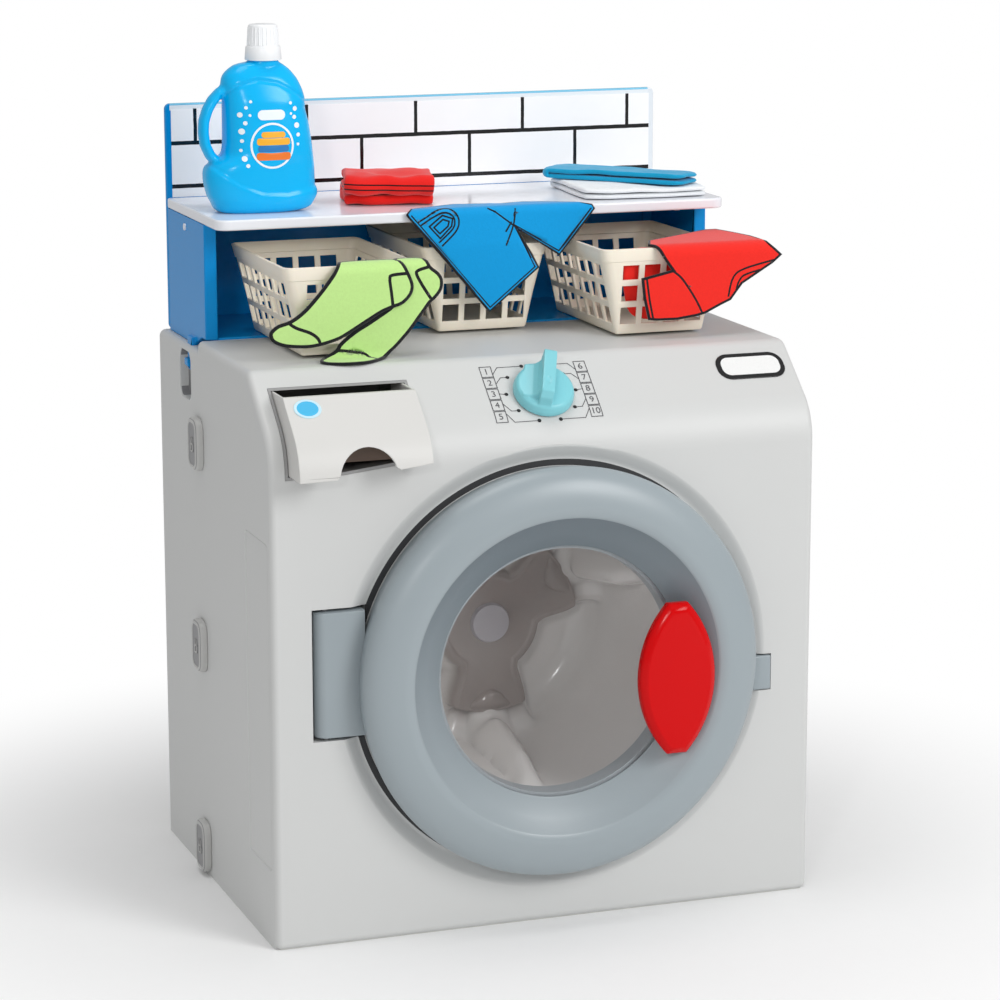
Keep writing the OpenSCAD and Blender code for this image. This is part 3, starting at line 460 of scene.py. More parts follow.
def ridge(bm, points, width, low, high):
    """A raised stroke along points in the plane."""
    for (ax, ay), (bx, by) in zip(points, points[1:]):
        away = Vector((bx - ax, by - ay)).normalized()
        side = Vector((-away.y, away.x)) * width / 2
        ends = [Vector((ax, ay)) - away * width / 2, Vector((bx, by)) + away * width / 2]
        ring = [ends[0] - side, ends[1] - side, ends[1] + side, ends[0] + side]
        small = [p + (sum(ring, Vector((0, 0))) / 4 - p) * 0.12 for p in ring]
        stacked([[(*p, low) for p in ring], [(*p, (low + high) / 2) for p in ring], [(*p, high) for p in small]], bm)


bm = stacked(cushion(clip_w, clip_h, ((0.0006, 0), (0, 0.0006), (0, 0.0042), (0.0006, 0.0056), (0.002, 0.0068),
                                      (0.0036, 0.0072), (0.0046, 0.0066), (0.0056, 0.0063), (0.007, 0.0063))))
ridge(bm, [(-0.0032, -0.006), (0.0032, -0.006), (0.0032, 0), (-0.0032, 0), (-0.0032, -0.006)], 0.0011, 0.0062, 0.0072)
ridge(bm, [(0.0022 * cos(radians(a)), 0.001 + 0.005 * sin(radians(a)) ** 0.8) for a in range(0, 181, 20)],
      0.001, 0.0062, 0.0071)
plug = [[(0.006 * cos(2 * pi * k / 36), 0.006 * sin(2 * pi * k / 36), up) for k in range(36)] for up in (-0.0058, 0.001)]
stacked(plug, bm)
stacked([[(p[0] * 8.5 / 6, p[1] * 8.5 / 6, up) for p in plug[0]] for up in (-0.0083, -0.0058)], bm)
clip_mesh = bpy.data.meshes.new("clip")
bm.to_mesh(clip_mesh)
bm.free()


def grown(name, inputs, build):
    """Runs a tree of Geometry Nodes once, with named inputs, and gives its plain mesh."""
    tree = bpy.data.node_groups.new(name, "GeometryNodeTree")
    tree.interface.new_socket("Geometry", in_out="OUTPUT", socket_type="NodeSocketGeometry")
    for label, value in inputs.items():
        kind = {int: "Int", float: "Float"}.get(type(value), "Object")
        tree.interface.new_socket(label, in_out="INPUT", socket_type="NodeSocket" + kind)
    work = Nodes(tree)
    entry = tree.nodes.new("NodeGroupInput")
    made = build(work, *(Term(work, entry.outputs[label]) for label in inputs))
    work.node("NodeGroupOutput", {}, work.node("GeometryNodeRealizeInstances", {}, made))
    holder = bpy.data.objects.new(name, bpy.data.meshes.new(name))
    bpy.context.scene.collection.objects.link(holder)
    modifier = holder.modifiers.new(name, "NODES")
    modifier.node_group = tree
    for item in tree.interface.items_tree:
        if item.in_out == "INPUT":
            modifier[item.identifier] = inputs[item.name]
    mesh = bpy.data.meshes.new_from_object(holder.evaluated_get(bpy.context.evaluated_depsgraph_get()))
    holder.modifiers.remove(modifier)
    bpy.data.objects.remove(holder)
    mesh.materials.clear()
    return mesh


def clip_rows(work, clip, reach, first, second, third, back):
    """Three clips on each side, turned outwards."""
    shape = work.node("GeometryNodeObjectInfo", {}, clip, out="Geometry")
    sides = []
    for side in (-1, 1):
        turn = work.node("FunctionNodeInputVector", {"vector": (pi / 2, 0, side * pi / 2)})
        turned = work.node("GeometryNodeTransform", {}, shape, Rotation=turn)
        for height in (first, second, third):
            spot = work.node("ShaderNodeCombineXYZ", {}, reach * side, back, height)
            sides.append(work.node("GeometryNodeTransform", {}, turned, Translation=spot))
    return work.node("GeometryNodeJoinGeometry", {}, sides[::-1])


clip_source = bpy.data.objects.new("clip_source", clip_mesh)
clips = grown("clips", {"Clip": clip_source, "Reach": side_x, "First": clip_z[0], "Second": clip_z[1],
                        "Third": clip_z[2], "Back": clip_y}, clip_rows)
bpy.data.objects.remove(clip_source)
clip_finish = masked(plastic("clip_plastic", (190, 190, 188), rough=0.36), (136, 136, 138), lambda x, y, z: (
    (abs(x) > side_x + 0.0061) * (abs(x) < side_x + 0.0066)))
piece("clips", clips, "cabinet", "body", clip_finish, "side_clips")

# The door is a hollow ring of blue-grey plastic on a hinge at its left, with a clear round window held
# by a back ring. Its outside rises over a round crest and slopes in to the window.
door_r, crest_r, crest_p, window_r, door_back = 0.175, 0.1385, 0.036, 0.1075, -0.005


def turned_about_door(profile, steps=160, bm=None):
    """Turns a closed outline of (radius, proud distance) about the door's axis."""
    bm = bm or bmesh.new()
    rings = []
    for k in range(steps):
        a = 2 * pi * k / steps
        rings.append([bm.verts.new((door_x + r * cos(a), front_y - p, door_z + r * sin(a))) for r, p in profile])
    count = len(profile)
    for k in range(steps):
        for j in range(count):
            bm.faces.new((rings[k][j], rings[k][(j + 1) % count], rings[(k + 1) % steps][(j + 1) % count],
                          rings[(k + 1) % steps][j]))
    bmesh.ops.recalc_face_normals(bm, faces=bm.faces)
    return bm


def block(bm, low, high, round_by=0.0):
    """A box between two corners with eased edges, added to the mesh."""
    corners = bmesh.ops.create_cube(bm, size=1)["verts"]
    for v in corners:
        v.co = Vector([low[k] if v.co[k] < 0 else high[k] for k in range(3)])
    if round_by:
        bmesh.ops.bevel(bm, geom=list({e for v in corners for e in v.link_edges}), offset=round_by, segments=3,
                        profile=0.5, affect="EDGES")


ring_side, wall = 0.016, 0.003
outside = [(door_r - 0.004, door_back), (door_r - 0.0037, door_back + 0.0008)]
outside += [(crest_r + (door_r - crest_r) * cos(radians(a)), ring_side + (crest_p - ring_side) * sin(radians(a)))
            for a in range(0, 85, 4)]
slope = Vector((window_r - crest_r, 0.015 - crest_p))
for share in (0.06, 0.1, 0.14, 0.5, 0.92):
    outside.append((crest_r + slope.x * share - (0.0003 if share < 0.12 else 0), crest_p + slope.y * share))
outside += [(window_r + 0.0012, 0.0155), (window_r + 0.0003, 0.0149), (window_r, 0.0142)]
inside = [(window_r + 0.0035, 0.014)]
inside += [(crest_r + (door_r - crest_r - wall) * cos(radians(a)), ring_side + (crest_p - ring_side - wall) *
            sin(radians(a))) for a in range(84, -1, -12)]
inside += [(door_r - 0.007, door_back)]
bm = turned_about_door(outside + inside)
around = [(-hinge_x + 0.010 * cos(radians(a)), hinge_y + 0.010 * sin(radians(a))) for a in range(100, 261, 10)]
arm_plan = around + [(-0.1615, hinge_y - 0.0100), (-0.1615, hinge_y + 0.009)]
levels = [(0.0022, arm_z[0]), (0.0006, arm_z[0] + 0.0006), (0, arm_z[0] + 0.0022), (0, arm_z[1] - 0.0022),
          (0.0006, arm_z[1] - 0.0006), (0.0022, arm_z[1])]
stacked([[(px + (inset if px < -0.18 else 0), py + (inset if py < hinge_y else -inset), level_z)
          for px, py in arm_plan] for inset, level_z in levels], bm)
block(bm, (door_x + 0.168, front_y - 0.0025, latch_z - 0.0148), (door_x + 0.196, front_y + 0.0045, latch_z + 0.0148),
      0.0012)
bmesh.ops.recalc_face_normals(bm, faces=bm.faces)
# The inner bevel of the ring is painted darker, more so towards its top: painted shade under the ring's upper edge.
door_finish = masked(plastic("door_plastic", (152, 162, 167), rough=0.34, cloud=0.02), (108, 119, 126), lambda x, y, z: (
    (from_door(x, z) < 0.1345 ** 2) * (y < -0.17) * ((z - door_z) * 4.5 + 0.45)))
piece("door_ring_moulding", bm, "door", "door", door_finish, "door_ring", crisp=30)
# The back ring is painted paler than the ring's blue-grey: painted light where it sits in shade behind the window.
dress(plastic("door_back_plastic", (172, 179, 184), rough=0.34), "door_back_ring")

window_finish = Finish("window", Base_Color=paint(90, 94, 98), Alpha=0.06, IOR=1.45)
smear = window_finish.noise(14, 4)
window_finish.set("Roughness", 0.02 + smear * 0.03)
window_finish.bump(smear, 0.02, 0.0001)
dress(window_finish.made, "door_window")

# The red handle is a lens-shaped moulding with a soft bevel all round and cut tips, on a stem that is
# fixed to the inner edge of the ring.
handle_x, handle_z = door_x + 0.0952, door_z - 0.0085
handle_half, lens_r, tip = 0.034, 0.096, 0.065


def lens(inset):
    """The handle's outline with its edges moved in, anticlockwise from the bottom right."""
    radius, top = lens_r - inset, tip - inset
    reach = degrees(np.arcsin(min(0.999, top / radius)))
    points = [(handle_half - lens_r + radius * cos(radians(a)), radius * sin(radians(a)))
              for a in np.linspace(-reach, reach, 33)]
    return points + [(-px, -pz) for px, pz in points]


levels = ((0.0025, 0.0300), (0.0003, 0.0312), (0, 0.0335), (0, 0.0368), (0.0007, 0.0382), (0.0018, 0.0392),
          (0.0050, 0.0414), (0.0060, 0.0418), (0.0070, 0.0420))
bm = stacked([[(handle_x + px, front_y - p, handle_z + pz) for px, pz in lens(inset)] for inset, p in levels])
block(bm, (door_x + 0.113, front_y - 0.034, handle_z - 0.022), (door_x + 0.127, front_y - 0.022, handle_z + 0.022), 0.002)
bmesh.ops.recalc_face_normals(bm, faces=bm.faces)
handle_finish = plastic("handle_plastic", (206, 0, 4), rough=0.16, grain=600, depth=0.00002, strength=0.15,
                        Specular_IOR_Level=0.16)
piece("door_handle_moulding", bm, "door", "handle", handle_finish, "door_handle", crisp=22)

# The drum turns behind the window: a deep grey bowl, with a raised three-armed plate on its floor and a
# fin up the wall from the end of each arm. It is one moulding, and a round cap covers its axle.
drum_floor, drum_front, hub_front = -0.1965, -0.017, -0.1645
arm_angles = [radians(a) for a in (30, 150, 270)]
ARM = np.array([(0, 0.033), (0.044, 0.0305), (0.064, 0.0365), (0.092, 0.0410), (0.110, 0.0430), (0.110, -0.0430),
                (0.092, -0.0410), (0.064, -0.0365), (0.044, -0.0305), (0, -0.033)])


def edge_distance(px, py, corners):
    """Distance to a closed outline, below zero inside it."""
    nearest = np.full(px.shape, 1e9)
    inside = np.zeros(px.shape, bool)
    for (ax, ay), (bx, by) in zip(corners, np.roll(corners, -1, 0)):
        along = np.clip(((px - ax) * (bx - ax) + (py - ay) * (by - ay)) / ((bx - ax) ** 2 + (by - ay) ** 2), 0, 1)
        nearest = np.minimum(nearest, np.hypot(px - ax - along * (bx - ax), py - ay - along * (by - ay)))
        crosses = ((ay > py) != (by > py)) & (px < (bx - ax) * (py - ay) / (by - ay + 1e-12) + ax)
        inside ^= crosses
    return np.where(inside, -nearest, nearest)


def eased(value):
    value = np.clip(value, 0, 1)
    return value * value * (3 - 2 * value)


profile = [(0.0002, drum_floor)] + [(r, drum_floor) for r in np.linspace(0.003, 0.082, 56)]
profile += [(0.082 + 0.024 * sin(a), drum_floor + 0.024 * (1 - cos(a))) for a in np.linspace(0.08, 1.42, 18)]
start = profile[-1]
profile += [(start[0] + (0.1262 - start[0]) * t, start[1] + (drum_front - start[1]) * t)
            for t in np.linspace(0.02, 1, 46)]
P = np.array(profile)
tangent = np.gradient(P, axis=0)
tangent /= np.linalg.norm(tangent, axis=1)[:, None]
normal = np.stack([-tangent[:, 1], tangent[:, 0]], 1)
turn = np.linspace(0, 2 * pi, 288, endpoint=False)
R, A = np.meshgrid(P[:, 0], turn, indexing="ij")
proud_p = np.repeat(P[:, 1:2], len(turn), 1)
flat_x, flat_z = R * np.cos(A), R * np.sin(A)
plate = np.hypot(flat_x, flat_z) - 0.050
fin = np.zeros_like(R)
for a in arm_angles:
    ux, uz = flat_x * cos(a) + flat_z * sin(a), flat_z * cos(a) - flat_x * sin(a)
    plate = np.minimum(plate, edge_distance(ux, uz, ARM))
    swing = np.abs((A - a + pi) % (2 * pi) - pi)
    width = np.interp(proud_p, (-0.19, -0.06), (0.020, 0.009))
    across_fin = np.clip(1 - (swing * R / width / 1.25) ** 2, 0, 1) ** 0.75
    height = np.interp(proud_p, (-0.19, -0.15, -0.085, -0.062, -0.052), (0.012, 0.026, 0.021, 0.010, 0.0))
    fin = np.maximum(fin, across_fin * height * (swing < 1) * eased((R - 0.088) / 0.012))
lift = (hub_front - drum_floor) * eased(0.5 - plate / 0.011)
lift += 0.0011 * np.exp(-((plate + 0.0085) / 0.0011) ** 2) * (R > 0.03)
lift *= eased((drum_floor + 0.036 - proud_p) / 0.022)
raised = eased(lift / (hub_front - drum_floor) * 1.6 - 0.5)
lift += fin
Q = P[:, None, :] + normal[:, None, :] * lift[:, :, None]
points = [[(door_x + Q[i, k, 0] * cos(turn[k]), front_y - Q[i, k, 1], door_z + Q[i, k, 0] * sin(turn[k]))
           for k in range(len(turn))] for i in range(len(P))]
shell = [(0.129, drum_front), (0.129, drum_front - 0.004), (0.1075, drum_floor + 0.008), (0.094, drum_floor - 0.0025),
         (0.0002, drum_floor - 0.0025)]
points += [[(door_x + r * cos(t), front_y - p, door_z + r * sin(t)) for t in turn] for r, p in shell]
bm = stacked(points)
shade = bm.verts.layers.float.new("plate")
for v, share in zip(bm.verts, raised.ravel()):
    v[shade] = share
bmesh.ops.recalc_face_normals(bm, faces=bm.faces)
# The bowl is painted much paler than its grey plastic, as painted light inside the dim drum, and the raised plate of
# the same moulding darker, as painted shade.
drum_finish = Finish("drum_plastic")
cloud, grain = drum_finish.noise(7, 3), drum_finish.noise(700, 2)
on_plate = drum_finish.node("ShaderNodeAttribute", {"attribute_name": "plate"}, out="Fac")
drum_finish.set("Base Color", drum_finish.mix(
    on_plate, drum_finish.mix(cloud, paint(240, 237, 235), paint(248, 246, 244)),
    drum_finish.mix(cloud, paint(166, 157, 153), paint(180, 171, 167))))
drum_finish.set("Roughness", 0.10 + cloud * 0.05 + grain * 0.04)
drum_finish.bump(grain + cloud * 0.5, 0.2, 0.00002)
piece("drum_bowl", bm, "drum", "drum", drum_finish.made, "drum", crisp=60)
dress(plastic("cap_grey", (205, 202, 208), rough=0.3), "drum_hub_cap")

# The control panel: an aqua knob with a raised grip that sweeps down into its disc, and around it printed
# dots, thin leader lines and two slanted columns of numbered boxes.
roll_s = 0.06088


def on_panel(px, s, up=0.0):
    """A point across px and s down from the panel's top edge, lifted off it; it follows the roll below."""
    if s < roll_s:
        return (px, crease_y - s * cos(panel_a) - up * sin(panel_a), top_z - s * sin(panel_a) + up * cos(panel_a))
    a = radians(130) + (s - roll_s) / roll_r
    return (px, roll_y + (roll_r + up) * cos(a), roll_z + (roll_r + up) * sin(a))


def dial_point(px, py, up):
    """A point about the dial's own middle, with py up the slope."""
    return (dial_x + px, crease_y - dial_s * cos(panel_a) + py * cos(panel_a) - up * sin(panel_a),
            top_z - dial_s * sin(panel_a) + py * sin(panel_a) + up * cos(panel_a))


def remeshed(bm, voxel, smooth=4, strength=0.5):
    """One skin around overlapping solids, with its steps smoothed."""
    work = bpy.data.objects.new("work", bpy.data.meshes.new("work"))
    bm.to_mesh(work.data)
    bm.free()
    bpy.context.scene.collection.objects.link(work)
    skin = work.modifiers.new("skin", "REMESH")
    skin.mode, skin.voxel_size = "VOXEL", voxel
    mesh = bpy.data.meshes.new_from_object(work.evaluated_get(bpy.context.evaluated_depsgraph_get()))
    bpy.data.objects.remove(work)
    bm = bmesh.new()
    bm.from_mesh(mesh)
    for _ in range(smooth):
        bmesh.ops.smooth_vert(bm, verts=bm.verts, factor=strength, use_axis_x=True, use_axis_y=True, use_axis_z=True)
    return bm


def tube(path, half_x, half_y, bm, steps=16):
    """A rounded bar of oval section along points in the x-z plane at y = 0."""
    rings = []
    for k, (px, pz) in enumerate(path):
        ahead_x = path[min(k + 1, len(path) - 1)][0] - path[max(k - 1, 0)][0]
        ahead_z = path[min(k + 1, len(path) - 1)][1] - path[max(k - 1, 0)][1]
        size = hypot(ahead_x, ahead_z)
        nx, nz = -ahead_z / size, ahead_x / size
        rings.append([(px + nx * half_x * cos(a), half_y * sin(a), pz + nz * half_x * cos(a))
                      for a in (2 * pi * j / steps for j in range(steps))])
    stacked(rings, bm)


bm = bmesh.new()
disc = [(0.0256, 0.0), (0.026, 0.0008), (0.0258, 0.0045), (0.0245, 0.0085), (0.0225, 0.0102), (0.018, 0.0109)]
stacked([[(r * cos(2 * pi * k / 96), r * sin(2 * pi * k / 96), up) for k in range(96)] for r, up in disc], bm)
grip = [(-0.024, 0.002), (0.0258, 0.002), (0.0262, 0.0262), (0.0215, 0.0268), (-0.0172, 0.0238), (-0.0212, 0.0178)]
stacked([[(gx, gy, gz) for gy, gz in grip] for gx in (-0.0055, 0.0055)], bm)
flare = [(-0.0055, 0.021), (-0.0075, 0.0155), (-0.0110, 0.0125), (-0.0160, 0.0112), (-0.0190, 0.0105)]
stacked([[(-0.0190, gy * 0.55, 0.004), (-0.002, gy * 0.9, 0.004), (-0.002, gy * 0.88, 0.022)] +
         [(fx, gy * (0.86 - 0.018 * k), fz) for k, (fx, fz) in enumerate(flare)] for gy in (-0.0195, 0.0245)], bm)
bmesh.ops.recalc_face_normals(bm, faces=bm.faces)
bm = remeshed(bm, 0.0006, 7)
for v in bm.verts:
    px, py, up = v.co
    if up < 0.0007 and hypot(px, py) < 0.0236:
        continue
    oval = (px / 0.0022) ** 2 + ((py + 0.0065) / 0.0042) ** 2
    if up > 0.018 and oval < 1.3:
        v.co.z -= 0.0007 * eased(1.3 - oval)
bm.transform(Matrix.Translation(Vector((0, 0, 0.0006))) @ Matrix.Rotation(radians(-18), 4, "Z"))
for v in bm.verts:
    v.co = Vector(dial_point(*v.co))
knob_finish = plastic("knob_plastic", (128, 203, 213), rough=0.34, cloud=0.015)
piece("dial_knob_moulding", bm, "dial", "aqua", knob_finish, "dial_knob", crisp=60)


def flat_patch(bm, corners, step=0.004):
    """A thin printed patch whose outline is split into short steps, laid on the panel."""
    ring = []
    for (ax, ay), (bx, by) in zip(corners, corners[1:] + corners[:1]):
        count = max(1, round(hypot(bx - ax, by - ay) / step))
        ring += [(ax + (bx - ax) * k / count, ay + (by - ay) * k / count) for k in range(count)]
    flat, _, faces, *_ = delaunay_2d_cdt([Vector(p) for p in ring], [], [list(range(len(ring)))], 1, 1e-7)
    top = [bm.verts.new(on_panel(dial_x + p.x, dial_s - p.y, 0.00025)) for p in flat]
    for face in faces:
        try:
            bm.faces.new([top[k] for k in face])
        except ValueError:
            pass


def stroke(bm, points, width):
    """A printed line through points about the dial's middle."""
    for (ax, ay), (bx, by) in zip(points, points[1:]):
        away = Vector((bx - ax, by - ay)).normalized()
        side, far = Vector((-away.y, away.x)) * width / 2, away * width / 2
        a, b = Vector((ax, ay)) - far, Vector((bx, by)) + far
        flat_patch(bm, [tuple(a - side), tuple(b - side), tuple(b + side), tuple(a + side)])


dots_r = 0.0307
print_mesh = bmesh.new()
for k in range(10):
    a = radians(18 + 36 * k)
    mx, my = -dots_r * sin(a) - 0.0010, dots_r * cos(a) + 0.0016
    flat_patch(print_mesh, [(mx + 0.0017 * cos(t), my + 0.0017 * sin(t)) for t in np.linspace(0, 2 * pi, 20, False)], 0.01)
piece("dial_dots", print_mesh, "cabinet", "dark", plastic("black_print", (24, 24, 26), rough=0.35), "dial_marks")

label_mesh = bmesh.new()
for side in (-1, 1):
    for k in range(5):
        top_y = 0.0322 - 0.0121 * k
        lo, hi = sorted((side * 0.0368 - 0.0008, side * 0.0468 - 0.0008))
        stroke(label_mesh, [(lo, top_y - 0.0110), (hi, top_y - 0.0110), (hi, top_y), (lo, top_y), (lo, top_y - 0.0110)], 0.0007)
        a = radians(18 + 36 * (k if side < 0 else 9 - k))
        dot = (-dots_r * sin(a) - 0.0010, dots_r * cos(a) + 0.0016)
        near = (side * 0.0368 - 0.0008, top_y - (0.0085, 0.0070, 0.0055, 0.0040, 0.0025)[k])
        bend = (near[0] - side * 0.0055, dot[1])
        stroke(label_mesh, [near, bend, (dot[0] + side * 0.0018, dot[1])], 0.0006)
        glyph = bpy.data.curves.new("numeral", "FONT")
        glyph.body = str(k + 1 if side < 0 else k + 6)
        glyph.size, glyph.align_x, glyph.align_y = 0.0085, "CENTER", "CENTER"
        holder = bpy.data.objects.new("numeral", glyph)
        flat = bpy.data.meshes.new_from_object(holder)
        spot = ((lo + hi) / 2, top_y - 0.0055)
        first = len(label_mesh.verts)
        label_mesh.from_mesh(flat)
        label_mesh.verts.ensure_lookup_table()
        for v in label_mesh.verts[first:]:
            v.co = Vector(on_panel(dial_x + spot[0] + v.co.x, dial_s - spot[1] - v.co.y, 0.00026))
        bpy.data.objects.remove(holder)
piece("dial_print", label_mesh, "cabinet", "dark", plastic("grey_print", (78, 78, 82), rough=0.4))

dress(plastic("board_green", (28, 104, 60), rough=0.3), "circuit_board")
cells = Finish("cell_wrap", Metallic=0.6, Roughness=0.3)
band = cells.node("ShaderNodeSeparateXYZ", {}, cells.place(), out=2) > 0.300
cells.set("Base Color", cells.mix(band, paint(40, 40, 44), paint(196, 140, 70)))
dress(cells.made, "battery_cells")

# Two badges are stuck on: a pale lozenge with a black border at the panel's right, and a blue disc on
# the drawer. Both are left bare.
def lozenge(inset, up, cx=0.1985, s=0.028, width=0.062, height=0.028):
    return [on_panel(cx + px, s - py, up) for px, py in outline(width - 2 * inset, height - 2 * inset, 0.012 - inset, 10)]


badge_black = plastic("badge_black", (22, 22, 24), rough=0.25)
badge_white = plastic("badge_white", (233, 234, 233), rough=0.28)
bm = stacked([lozenge(0, 0), lozenge(0, 0.0005), lozenge(0.0004, 0.0008), lozenge(0.0041, 0.0008)])
piece("badge_border", bm, "cabinet", "badge", badge_black, "front_badge")
bm = stacked([lozenge(0.0042, 0.0006), lozenge(0.0043, 0.0010), lozenge(0.0051, 0.0010)])
piece("badge_face", bm, "cabinet", "badge", badge_white)

bm = stacked([[Vector(on_panel(-0.2056 + r * cos(t), 0.036 - r * 0.86 * sin(t), up)) + Vector((0, -0.0315, 0))
               for t in np.linspace(0, 2 * pi, 64, False)]
              for r, up in ((0.0114, 0), (0.0115, 0.0004), (0.0112, 0.0006), (0.009, 0.0006))])
for face in bm.faces:
    face.material_index = 1 if len(face.verts) == 4 else 0
disc_finishes = [plastic("badge_blue", (52, 178, 226), rough=0.3), plastic("badge_rim", (196, 228, 240), rough=0.3)]
piece("drawer_disc", bm, "drawer", "badge_blue", disc_finishes, "drawer_badge", crisp=60)

# The soap drawer slides in a housing at the panel's left. Its front follows the cabinet's own roll and
# has an arch cut out below as a finger grip; the tray behind it is open at the top.
bm = welded("drawer_front")
ease(bm, 0.0009)
piece("drawer_face", bm, "drawer", "body", plastic("drawer_plastic", (210, 209, 206), rough=0.44), "drawer_front", weigh=True)
dress(plastic("drawer_inner", (88, 70, 58), rough=0.5), "drawer_tray")

# The shelf unit stands on the rear of the cabinet: a base with a rolled front lip, two side walls with
# hooks into the cabinet's slots, a blue back panel and a white shelf held by two rivets.
blue_finish = plastic("unit_blue", (0, 142, 216), rough=0.24, grain=500, depth=0.00004, Specular_IOR_Level=0.22)
card_low, card_high = (Vector([f(v.co[k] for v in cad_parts["tile_panel"].data.vertices) for k in range(3)]) for f in (min, max))
rim_finish = plastic("panel_blue", (0, 142, 216), rough=0.24, grain=500, depth=0.00004, Specular_IOR_Level=0.22)
panel_top = max(v.co.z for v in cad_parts["back_panel"].data.vertices)
# The panel is painted pale above and to the right of the card, and a thin pale cyan line along its top edge is a
# painted highlight.
for rim_colour, rim_low in (((232, 238, 243), card_high.z - 0.001), ((120, 196, 228), panel_top - 0.0016)):
    rim_finish = masked(rim_finish, rim_colour, lambda x, y, z: (z > rim_low) * (x > card_low.x - 0.001))
rim_finish = masked(rim_finish, (226, 232, 238), lambda x, y, z: (x > card_high.x - 0.001) * (z > 0.590))
for name in ("unit_base", "unit_side_left", "unit_side_right", "back_panel"):
    bm = welded(name)
    ease(bm, 0.0012)
    piece(name + "_moulding", bm, "cabinet", "blue", rim_finish if name == "back_panel" else blue_finish, name, weigh=True)

shelf_finish = plastic("shelf_white", (238, 240, 246), rough=0.16, grain=300, depth=0.00003, cloud=0.008)
bm = welded("shelf_board")
ease(bm, 0.0018, lambda a, b: min(a.z, b.z) > 0.5755, 3)
piece("shelf", bm, "cabinet", "shelf", shelf_finish, "shelf_board", weigh=True)
dress(shelf_finish, "shelf_rivets")

# The splash back is a card printed with white tiles in running bond and black joints. It is slipped in
# front of the blue panel.
tile_finish = Finish("tile_card", Roughness=0.16)
tx = tile_finish.node("ShaderNodeSeparateXYZ", {}, tile_finish.place(), out=0)
tz = tile_finish.node("ShaderNodeSeparateXYZ", {}, tile_finish.place(), out=2)
tile_l, tile_low, tile_high = 0.1026, 0.5948, 0.6330
wobble = tile_finish.noise(90, 2) * 0.0006 - 0.0003
second = (tz > tile_low) * (tz < tile_high)
shifted = tx + 0.2052 + second * (tile_l / 2) + wobble
gap = abs((shifted / tile_l + 0.5) % 1.0 - 0.5) * tile_l
upright_joint = (gap < 0.0016) * (tz > tile_low)
level_joint = (abs(tz + wobble - tile_low) < 0.0018).math("MAXIMUM", abs(tz + wobble - tile_low) < 0.0018,
                                                          abs(tz + wobble - tile_high) < 0.0018)
joints = upright_joint.math("MAXIMUM", upright_joint, level_joint)
sheen = tile_finish.noise(40, 3)
tile_finish.set("Base Color", tile_finish.mix(joints, tile_finish.mix(sheen, paint(248, 249, 251), paint(253, 253, 254)),
                                              paint(18, 18, 20)))
tile_finish.bump(sheen, 0.05, 0.0002)
dress(tile_finish.made, "tile_panel")

# Three cream laundry baskets of thin moulded plastic: tapered walls pierced by three rows of openings,
# a plain band around the rim and a closed bottom.
basket_at = {"left": (-0.140, 0.003), "middle": (0.007, 0.083), "right": (0.146, 0.016)}
basket_z, basket_h, basket_wall = 0.4784, 0.076, 0.0022
rim_w, rim_l, foot_w, foot_l = 0.115, 0.170, 0.081, 0.146
rows_z = ((0.009, 0.024), (0.029, 0.043), (0.048, 0.061))
basket_finish = plastic("basket_cream", (246, 237, 220), rough=0.4, cloud=0.02, grain=800, Subsurface_Weight=0.1,
                        Subsurface_Radius=(0.004, 0.003, 0.002))


def basket_ring(up, out=0.0):
    """Points around the basket at a height: each wall is split at its openings' edges."""
    share = up / basket_h
    half_w, half_l = foot_w / 2 + (rim_w - foot_w) / 2 * share + out, foot_l / 2 + (rim_l - foot_l) / 2 * share + out
    corner = min(0.007, half_w - 0.0382, half_l - 0.0702)
    ring = []
    for side, (half, far_side) in enumerate(((half_w, half_l), (half_l, half_w)) * 2):
        cuts = [(20 * i + s) * MM for i in (-1.5, -0.5, 0.5, 1.5) for s in (-7.5, 7.5)] if side % 2 == 0 else \
            [(20.5 * i + s) * MM for i in range(-3, 4) for s in (-8, 8)]
        line = [(c, -far_side) for c in (-half + corner, *cuts, half - corner)]
        line += [(half - corner + corner * sin(radians(a)), -far_side + corner - corner * cos(radians(a))) for a in (30, 60)]
        for px, py in line:
            ring.append(((px, py), (-py, px), (-px, -py), (py, -px))[side])
    return [(px, py, up) for px, py in ring]


def basket():
    bm = bmesh.new()
    ups = [0.0025] + [z for row in rows_z for z in row] + [0.0650, 0.0652, basket_h - 0.0004]
    rings = [basket_ring(up, -0.0011 if up < 0.0651 else -0.0002) for up in ups]
    rows = [[bm.verts.new(p) for p in ring] for ring in rings]
    count = len(rows[0])
    holes = set()
    spot = 0
    for side, number in enumerate((4, 7, 4, 7)):
        for i in range(number):
            holes.add(spot + 1 + 2 * i)
        spot += 2 * number + 4
    for level_k in range(len(rows) - 1):
        for k in range(count):
            if level_k in (1, 3, 5) and k in holes:
                continue
            bm.faces.new((rows[level_k][k], rows[level_k][(k + 1) % count], rows[level_k + 1][(k + 1) % count],
                          rows[level_k + 1][k]))
    low = basket_ring(0.0011, -0.0018)
    sole = [bm.verts.new(p) for p in low]
    for k in range(count):
        bm.faces.new((sole[k], sole[(k + 1) % count], rows[0][(k + 1) % count], rows[0][k]))
    bm.faces.new(sole[::-1])
    bmesh.ops.recalc_face_normals(bm, faces=bm.faces)
    return bm


for name, (bx, by) in basket_at.items():
    bm = basket()
    bm.transform(Matrix.Translation(Vector((bx, by, basket_z))))
    made = piece("basket_" + name + "_moulding", bm, name + "_basket", "basket", basket_finish, "basket_" + name, crisp=50)
    shell = made.modifiers.new("wall", "SOLIDIFY")
    shell.thickness, shell.offset, shell.use_even_offset = basket_wall, 0.0, False
    soft = made.modifiers.new("edges", "BEVEL")
    soft.width, soft.segments, soft.limit_method, soft.angle_limit = 0.0006, 2, "ANGLE", radians(40)

